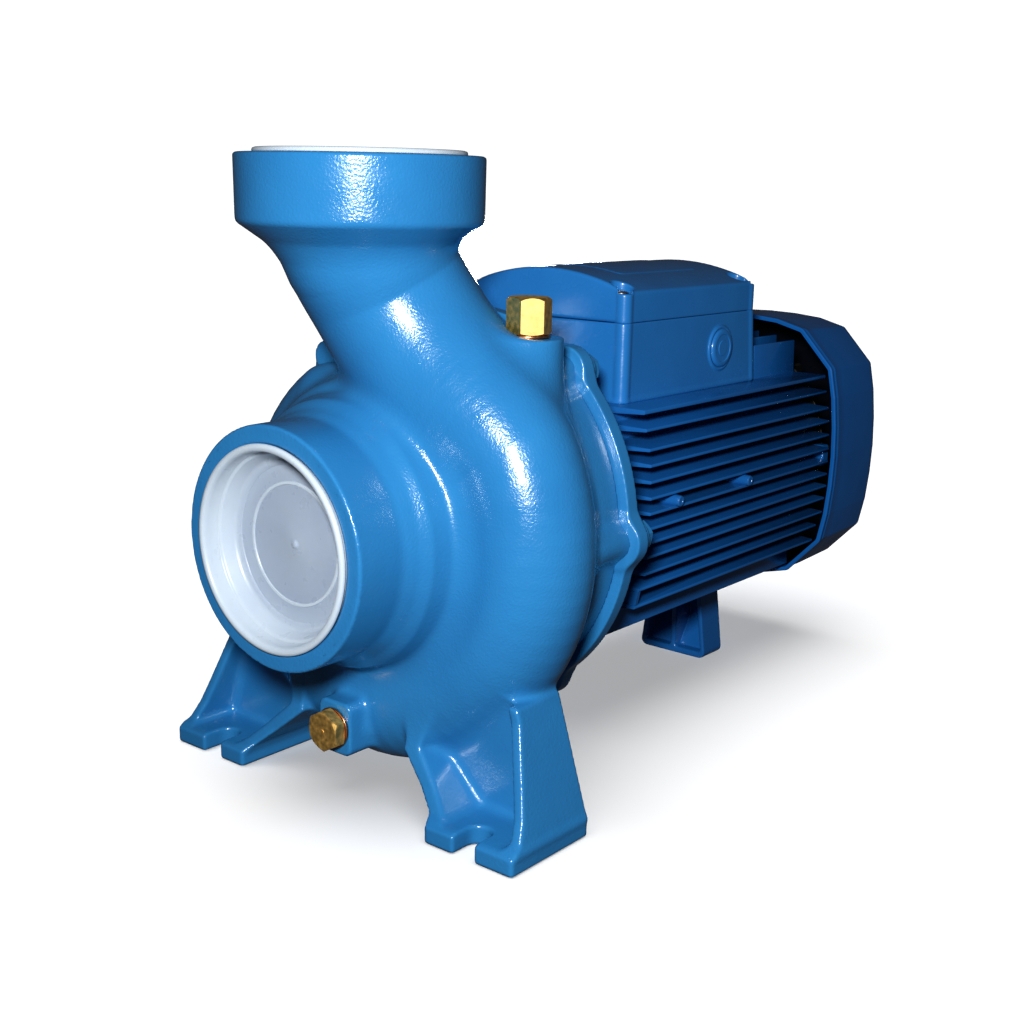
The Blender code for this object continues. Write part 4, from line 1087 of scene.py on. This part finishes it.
BOX_X = 65.0
BOX_Y0 = 192.0
BOX_Y1 = 355.0
SEAM = 270.5
SCREWS = ((53, 204), (-53, 204), (53, 343), (-53, 343))
LID_X = 63.2
LID_Y0 = 194.8
LID_Y1 = 352.2
BLANK_ENTRY = (306.5, 247.5)
GLAND_ENTRY = (271, 247.5)


def arch(x, z0, side, crown, n=24):
    """An outline with an arched top, seen from the front."""
    points = [(-x, z0), (x, z0)]
    for i in range(n + 1):
        t = 1 - 2 * i / n
        points.append((x * t, side + (crown - side) * (1 - t * t)))
    return points


def build_box():
    field = Field((-68, 189, 219), (68, 358, 273), 1.0)
    low, high = 221.3, SEAM

    def wall(x, y, z):
        lean = (z - low) / (high - low)
        dx = np.abs(x) - (BOX_X - 1.6 * lean) + 6
        dy = np.abs(y - (BOX_Y0 + BOX_Y1) / 2) - ((BOX_Y1 - BOX_Y0) / 2 - 2.6 * lean) + 6
        return np.maximum(rounded(dx, dy, 6), np.abs(z - (low + high) / 2) - (high - low) / 2)

    def beads(x, y, z):
        """A round bead up each corner, standing a little proud of both walls."""
        lean = (z - low) / (high - low)
        dx = np.abs(x) - (BOX_X - 1.6 * lean - 4.5)
        dy = np.abs(y - (BOX_Y0 + BOX_Y1) / 2) - ((BOX_Y1 - BOX_Y0) / 2 - 2.6 * lean - 4.5)
        return np.maximum(np.hypot(dx, dy) - 5.2, np.abs(z - (low + high) / 2) - (high - low) / 2)

    corner = np.array([BOX_X, BOX_Y1, high])
    field.add((wall, np.array([-BOX_X, BOX_Y0, low]), corner))
    field.add((beads, np.array([-BOX_X, BOX_Y0, low]), corner), 1.0)
    ledge = fillet(rectangle(-BOX_X, BOX_Y0, BOX_X, BOX_Y1), 6.5)
    field.add(slab("Z", ledge, low, low + 2.2, 0.8), 2)
    field.cut(slab("Z", fillet(rectangle(-58, 199, 58, 348), 4), 233, 290, 1.5), 0.8)
    field.cut(pipe("Y", (0, SHAFT_Z), 68.8, 180, 360))
    for x, y in SCREWS:
        field.add(slab("Z", fillet(rectangle(x - 6, y - 6, x + 6, y + 6), 3), 230, SEAM - 0.4), 2)
        field.cut(pipe("Z", (x, y), 2.3, 236, 290))
    for x in (24, -24):
        field.add(pipe("Z", (x, 240), 4.2, 231, 238), 1.5)
    field.cut(pipe("Z", WIRE_WAY, 9, 215, 240))
    field.cut(pipe("X", BLANK_ENTRY, 10.3, 50, 80))
    field.cut(pipe("X", GLAND_ENTRY, 10.3, -80, -50))
    # A raised ring stands round the blanked entry.
    field.add(pipe("X", BLANK_ENTRY, 15.2, 60, 65.6, 0.5), 0.8)
    field.cut(pipe("X", BLANK_ENTRY, 13.3, 64.9, 80))
    show_field("terminal_box_base_cast", field, "box", "terminal_box_base")

    lid = Field((-66, 192, 270), (66, 355, 305), 0.9)
    low_edge = SEAM + 0.15
    crown = fillet(arch(LID_X, low_edge, 289.8, 302.2), [0, 0, 2.6] + [0] * 23 + [2.6], 5)
    lid.add(slab("Y", crown, LID_Y0, LID_Y1, 2.2))
    outside = slab("Z", fillet(rectangle(-LID_X, LID_Y0, LID_X, LID_Y1), 6.0, 6), 260, 320)[0]
    lid.d = np.maximum(lid.d, outside(lid.axes[0][:, None, None], lid.axes[1][None, :, None],
                                      lid.axes[2][None, None, :]))
    lid.cut(slab("Y", arch(58.5, 262, 286.0, 297.0), 200, 347, 2), 1.0)
    lid.cut(slab("Z", fillet(rectangle(-60.9, 197.1, 60.9, 349.9), 4), 262, SEAM + 1.5))
    for x, y in SCREWS:
        lid.add(pipe("Z", (x, y), 7.6, 273, 289.5), 2)
        lid.cut(pipe("Z", (x, y), 6.0, 286.6, 310), 0.9)
        lid.cut(pipe("Z", (x, y), 2.7, 260, 290))
    # A bead up each corner, its top open to the screw's pocket, and a raised panel on the crown.
    for sx in (1, -1):
        for sy, y in ((1, LID_Y0), (-1, LID_Y1)):
            lid.add(pipe("Z", (sx * 58.7, y + sy * 4.5), 5.2, low_edge, 291), 1.0)
            spot = [(sx * (59.5 + a), y + sy * (3.7 + b)) for a, b in ((-9, 3), (-3, 9), (9, -3), (3, -9))]
            lid.cut(slab("Z", spot[::-1 if sx * sy > 0 else 1], 288.6, 312), 0.8)
            lid.cut(pipe("Z", (sx * 53, 273.5 - sy * 69.5), 7.2, 288.6, 310), 0.8)
    panel = slab("Z", fillet(rectangle(-36, 226, 36, 317), 4), 280, 330)
    raised = slab("Y", arch(LID_X, 240, 290.4, 302.7), 226, 317)

    def plate(x, y, z):
        return np.maximum(panel[0](x, y, z), raised[0](x, y, z))

    lid.add((plate, np.array([-36, 226, 285]), np.array([36, 317, 303])), 0.5)
    show_field("terminal_box_lid_cast", lid, "box", "terminal_box_lid")

    band = extruded(fillet(rectangle(-60.7, 197.3, 60.7, 349.7), 4),
                    [fillet(rectangle(-58.2, 199.8, 58.2, 347.2), 3)], "Z", SEAM + 0.05, SEAM + 1.4)
    show_part("terminal_box_gasket_band", band, "rubber", "terminal_box_gasket")
    for i, (x, y) in enumerate(SCREWS):
        head = [(0, 250), (1.7, 250), (2.0, 250.6), (2.0, 286.8), (4.7, 286.8), (4.8, 287.9), (4.4, 288.9),
                (3.2, 289.6), (0, 290.0)]
        screw = mesh_of("screw", *turned(head, "Z", (x, y), 40))
        cross = [mesh_of("slot", *extruded(rectangle(x - a, y - b, x + a, y + b), [], "Z", 288.0, 292))
                 for a, b in ((3.0, 0.6), (0.6, 3.0))]
        cross = [boolean(cross[0], [cross[1]], "UNION")]
        made = boolean(screw, cross)
        made.set_sharp_from_angle(angle=math.radians(30))
        show(f"lid_screw_{i + 1}_pan", made, "steel", f"lid_screw_{i + 1}")
    blank = [(0, 67.0), (5.0, 67.0), (5.4, 66.6), (9.0, 66.6), (9.4, 67.1), (11.4, 67.1), (12.6, 66.4),
             (13.0, 65.6), (13.0, 65.2), (10, 64.9), (10, 57), (9.2, 56.4), (0, 56.4)]
    part = moved(turned(blank, "Z", (0, 0), 72), turn_to((1, 0, 0), (0, *BLANK_ENTRY)))
    show_part("knockout_disc", part, "box", "knockout_plug")


def build_gland():
    turn = turn_to((-1, 0, 0), (0, *GLAND_ENTRY))
    body = hexagon_head(24, 65.3, 73, 0, 1.2, 7.0)
    thread = [(7.0, 55), (9.4, 55), *thread_turns(55.6, 84, 1.5, 9.4, 10.0, 0.5, 0.4), (9.4, 86), (7.0, 86)]
    base = joined(body, turned(thread, "Z", (0, 0), 48))
    show_part("cable_gland_base", moved(base, turn), "black", "cable_gland_body", 28)
    dome = []
    for k in range(7):
        t = math.pi / 2 * k / 6
        dome.append((8.6 + 4.4 * math.cos(t), 86.0 + 5.6 * math.sin(t)))
    shell = [(10.5, 75.0), (12.2, 75.0), (12.2, 84.2), *dome, (7.4, 91.8), (6.5, 91.0), (6.5, 86.6),
             (10.5, 86.3)]
    nut = joined(hexagon_head(24, 73.5, 84.6, 0.5, 0.8, 10.4), turned(shell, "Z", (0, 0), 60))
    show_part("cable_gland_cap", moved(nut, turn), "black", "cable_gland_nut", 28)


build_box()
build_gland()

# ---------------------------------------------------------------- fan cover, fan, end shield and rear foot

COVER_T = 2.4


def cover_outline():
    """The fan cover seen from behind, one closed line of four arched sides and four straight corners."""
    quarter = [(97.3, 0), (96.5, 22), (94.3, 44), (90, 65), (65, 91.5), (44, 97), (22, 99), (0, 99.6)]
    return np.array(fillet(quarter_round(quarter), 6, 5))


def quarter_round(quarter):
    points = list(quarter)
    points += [(-x, z) for x, z in reversed(quarter[:-1])]
    points += [(-x, -z) for x, z in quarter[1:]]
    points += [(x, -z) for x, z in reversed(quarter[1:-1])]
    return points


def inset(line, by):
    """A closed line moved inwards along its own normals."""
    ahead_of, behind = np.roll(line, -1, 0), np.roll(line, 1, 0)
    tangent = ahead_of - behind
    tangent /= np.maximum(np.linalg.norm(tangent, axis=1), 1e-9)[:, None]
    return line + by * np.stack([-tangent[:, 1], tangent[:, 0]], 1)


def drawn_in(line, depth):
    """The outline moved inwards, and past 5 mm shrunk towards its centre so that its corners never cross."""
    return inset(line, min(depth, 5.0)) * (1 - max(depth - 5.0, 0) / 92)


def build_cover():
    line = cover_outline()
    outside = [(420.3, -0.6), (421.0, -1.5), (422.2, -1.7), (423.4, -1.2), (424.0, -0.2), (425.2, 0.25),
               (427.6, 0.3), (428.4, -0.05), (429.4, -0.3), (430.4, 0.05), (431.2, 0.25), (440, 0.1),
               (488.0, 1.6)]
    for k in range(1, 9):
        t = math.pi / 2 * k / 8
        outside.append((488.2 + 13.2 * math.sin(t), 1.6 + 9.4 * (1 - math.cos(t))))
    outside += [(501.5, 16), (501.5, 22)]
    back = [(499.1, 22), (499.1, 16)]
    for k in range(8, -1, -1):
        t = math.pi / 2 * k / 8
        back.append((487.6 + 11.4 * math.sin(t), COVER_T + 1.6 + 7.6 * (1 - math.cos(t))))
    back += [(440, COVER_T + 0.1), (424, COVER_T), (420.6, 1.4)]
    rings = outside + back
    n = len(line)
    verts = []
    for y, depth in rings:
        for x, z in drawn_in(line, depth):
            verts.append((x, y, SHAFT_Z + z))
    faces = []
    for i in range(len(rings)):
        if rings[i] == outside[-1]:
            continue
        a, b = i * n, ((i + 1) % len(rings)) * n
        for k in range(n):
            m = (k + 1) % n
            faces.append((a + k, a + m, b + m, b + k))
    for start in (len(outside) - 1, len(outside)):
        faces.append(tuple(range(start * n, (start + 1) * n)))
    mesh = mesh_of("cover", *faced(verts, faces))
    slits = []
    for k in range(24):
        a = math.radians(15 * k)
        r0, r1 = (26, 60) if k % 2 == 0 else (40, 60)
        slot = []
        for end, turn in ((r1, -90), (r0, 90)):
            for j in range(9):
                t = math.radians(turn + 180 * j / 8)
                slot.append((end + 2.2 * math.cos(t), 2.2 * math.sin(t)))
        ca, sa = math.cos(a), math.sin(a)
        outline = [(u * ca - v * sa, SHAFT_Z + u * sa + v * ca) for u, v in slot]
        slits.append(mesh_of("slit", *extruded(outline, [], "Y", 499.9, 507)))
    show("fan_cover_pressing", shaded(boolean(mesh, slits), 34), "sheet", "fan_cover")


def build_fan():
    hub = [(10.4, 436), (16, 436), (22, 436.6), (79, 438), (79.6, 438.5), (79, 441), (24, 441.4), (17.5, 444),
           (16, 460), (10.4, 460)]
    mesh = mesh_of("hub", *turned(hub, "Y", (0, SHAFT_Z), 96))
    outline = fillet([(439, 12.5), (439, 80), (452, 80), (462, 74), (461, 34), (458, 14)], (0, 1, 8, 6, 6, 1),
                     4)
    flat, faces = extruded(outline, [], "Z", -1.2, 1.2)
    verts = [(v[1], v[0], v[2]) for v in flat]
    blades = []
    for k in range(7):
        turn = Matrix.Translation((0, 0, SHAFT_Z)) @ Matrix.Rotation(-2 * math.pi * k / 7, 4, "Y")
        blades.append(mesh_of("blade", *faced(*moved((verts, faces), turn))))
    show("cooling_fan_moulding", shaded(boolean(mesh, blades, "UNION"), 34), "black", "cooling_fan")


def build_shield():
    field = Field((-94, 405, 66), (94, 434, 254), 1.3)
    profile = fillet([(71, 431), (74, 428), (74, 419.3), (61.2, 419.3), (61.2, 411), (56, 411), (53, 417),
                      (36, 417), (31, 407), (17, 407), (17, 410), (26.3, 410), (26.3, 431)],
                     (2, 2, 0, 0, 0, 1, 3, 3, 1, 0, 0, 0, 1))
    field.add(spun("Y", (0, SHAFT_Z), profile))
    for rod in RODS:
        field.add(pipe("Y", rod, 9, 419.4, 430.9, 1), 3)
        field.cut(pipe("Y", rod, ROD_HOLE_R, 400, 440))
    for sx, sz in ((0, 1), (1, 0), (0, -1), (-1, 0)):
        if sx:
            low, high = sorted((sx * 66, sx * 89.5))
            pad = rectangle(low, SHAFT_Z - 8, high, SHAFT_Z + 8)
        else:
            low, high = sorted((SHAFT_Z + sz * 66, SHAFT_Z + sz * 89.5))
            pad = rectangle(-8, low, 8, high)
        field.add(slab("Y", fillet(pad, 1.5), 421, 430, 0.8), 3)
    show_field("rear_end_shield_cast", field, "frame", "rear_end_shield")


def build_rear_foot():
    field = Field((-32, 363, -2.5), (32, 395, 76), 0.8)
    side = fillet([(-29.5, 0), (29.5, 0), (20, 73), (-20, 73)], (5, 5, 1, 1), 5)
    field.add(slab("Y", side, 366, 392, 0.9))
    for s in (1, -1):
        pocket = fillet(mirrored([(2.2, 5), (25, 5), (17, 64), (2.2, 64)], s), 2.5, 5)
        shape = slab("Y", pocket, 340, 387)[0]

        def hollow(x, y, z, shape=shape):
            """The pocket's back slopes forward towards its foot."""
            floor = (y - (387 - np.clip((26 - z) / 20, 0, 1) * 13)) * 0.85
            return np.maximum(shape(x, y, z), floor)

        near, far = sorted((2 * s, 26 * s))
        field.cut((hollow, np.array([near, 362, 4]), np.array([far, 388, 65])), 2.2)
        field.cut(pipe("Z", (s * FOOT_SCREW_X, FOOT_SCREW_Y), ROD_HOLE_R, 55, 90))
    show_field("rear_foot_cast", field, "frame", "rear_foot")
    shank = turned([(0, 62), (2.9, 62), (2.9, 81.4), (2.4, 82), (0, 82)], "Z", (0, 0), 24)
    screw = joined(hexagon_head(10, 59.4, 63.6, 0.6, 0), shank)
    for i, x in enumerate((-FOOT_SCREW_X, FOOT_SCREW_X)):
        part = moved(screw, Matrix.Translation((x, FOOT_SCREW_Y, 0)))
        show_part(f"rear_foot_screw_{i + 1}_hex", part, "steel", f"rear_foot_screw_{i + 1}", 28)


build_cover()
build_fan()
build_shield()
build_rear_foot()

# ---------------------------------------------------------------- finishes of the CAD nodes that stay

KEPT = {
    "bronze": ("impeller",), "copper": ("stator_winding",), "rubber": ("casing_o_ring", "water_slinger"),
    "steel": ("impeller_key", "impeller_nut", "impeller_washer", "seal_rotating_head", "motor_shaft",
              *(f"tie_rod_{i}" for i in range(1, 5))),
    "ceramic": ("seal_stationary_seat",), "laminated": ("rotor_core", "stator_core"),
    "ground": tuple(f"{end}_bearing_{part}" for end in ("front", "rear")
                    for part in ("balls", "inner_ring", "outer_ring")),
    "black": ("terminal_board",),
}
for paint_name, names in KEPT.items():
    for node_name in names:
        kept = frame["nodes"][node_name]
        kept.data.materials.clear()
        kept.data.materials.append(PAINTS[paint_name])

# ---------------------------------------------------------------- camera, light and floor

LENS_MM = 48.93
CAMERA_AT = (554.71, -515.67, 354.35)
AZIMUTH = math.radians(39.17)
TILT = math.radians(13.33)
ROLL = math.radians(1.11)

camera_data = bpy.data.cameras.new("camera")
camera = linked("camera", camera_data)
camera_data.lens = LENS_MM
camera_data.sensor_width = 36.0
camera_data.clip_start = 0.02
camera_data.clip_end = 600.0
ahead = Vector((-math.sin(AZIMUTH) * math.cos(TILT), math.cos(AZIMUTH) * math.cos(TILT), -math.sin(TILT)))
right = ahead.cross(Vector((0, 0, 1))).normalized()
up = right.cross(ahead)
across = math.cos(ROLL) * right + math.sin(ROLL) * up
upright = -math.sin(ROLL) * right + math.cos(ROLL) * up
turned_to_view = Matrix((across, upright, -ahead)).transposed().to_4x4()
camera.matrix_world = Matrix.Translation(to_frame([CAMERA_AT])[0]) @ turned_to_view
bpy.context.scene.camera = camera


def lamp_of(name, kind, direction, track, **settings):
    """A lamp of that kind, with the track axis of its object turned along the direction."""
    data = bpy.data.lights.new(name, kind)
    for key, value in settings.items():
        setattr(data, key, value)
    made = linked(name, data)
    made.rotation_mode = "QUATERNION"
    made.rotation_quaternion = direction.to_track_quat(track, "Y")
    return made


def area_light(name, position, target, size, power):
    aim = Vector(target) - Vector(position)
    made = lamp_of(name, "AREA", aim, "-Z", shape="DISK", size=size, energy=power)
    made.location = position
    return made


def sun(name, azimuth, elevation, strength, soft):
    """A distant lamp. Azimuth 0 shines along +Y and 90 along -X; elevation is above the horizon."""
    a, e = math.radians(azimuth), math.radians(elevation)
    source = Vector((math.sin(a) * math.cos(e), -math.cos(a) * math.cos(e), math.sin(e)))
    return lamp_of(name, "SUN", source, "Z", energy=strength, angle=math.radians(soft))


FLASH_AT = to_frame([(515, -545, 470)])[0]
key = area_light("key", FLASH_AT, (0, 0, 0.17), 0.11, 9.5)
back = area_light("back_softbox", (-1.02, 1.28, 0.14), (0, 0, 0.14), 0.3, 18)
back.visible_camera = False
floor_lamp = sun("floor_lamp", 20, 80, 1.9, 60)
floor_fill = sun("floor_fill", 20, 80, 1.7, 60)
floor_fill.data.use_shadow = False

world = bpy.data.worlds.new("studio")
bpy.context.scene.world = world
world.use_nodes = True
nodes, links = world.node_tree.nodes, world.node_tree.links
sky = nodes["Background"]
sky.inputs["Color"].default_value = (0.90, 0.93, 1.0, 1)
sky.inputs["Strength"].default_value = 0.05
plain = nodes.new("ShaderNodeBackground")
plain.inputs["Color"].default_value = (1, 1, 1, 1)
plain.inputs["Strength"].default_value = 0.90
either = nodes.new("ShaderNodeMixShader")
links.new(nodes.new("ShaderNodeLightPath").outputs["Is Camera Ray"], either.inputs["Fac"])
links.new(sky.outputs["Background"], either.inputs[1])
links.new(plain.outputs["Background"], either.inputs[2])
links.new(either.outputs["Shader"], nodes["World Output"].inputs["Surface"])

floor_mesh = bpy.data.meshes.new("floor")
floor_mesh.from_pydata([(-200, -200, 0), (200, -200, 0), (200, 200, 0), (-200, 200, 0)], [], [(0, 1, 2, 3)])
floor = linked("floor", floor_mesh)
floor_paint = Paint("floor_paint")
floor_paint.set(Roughness=0.9)
floor_paint.shader.inputs["Specular IOR Level"].default_value = 0.1
floor_tones = floor_paint.ramp(floor_paint.noise(900, 2.0), ((0.3, 0.813), (0.7, 0.827)))
floor_mesh.materials.append(floor_paint.finish(floor_tones))
# The floor has a lamp of its own, and neither throws light back up nor shows in the paint.
floor.visible_diffuse = False
floor.visible_glossy = False
only_floor = bpy.data.collections.new("lit_by_floor_lamp")
only_floor.objects.link(floor)
floor_lamp.light_linking.receiver_collection = only_floor
floor_fill.light_linking.receiver_collection = only_floor
all_but_floor = bpy.data.collections.new("not_lit_by_the_others")
all_but_floor.objects.link(floor)
all_but_floor.collection_objects[0].light_linking.link_state = "EXCLUDE"
for lamp in (key, back):
    lamp.light_linking.receiver_collection = all_but_floor
bpy.context.scene.view_settings.view_transform = "Standard"
bpy.context.scene.view_settings.look = "Medium High Contrast"
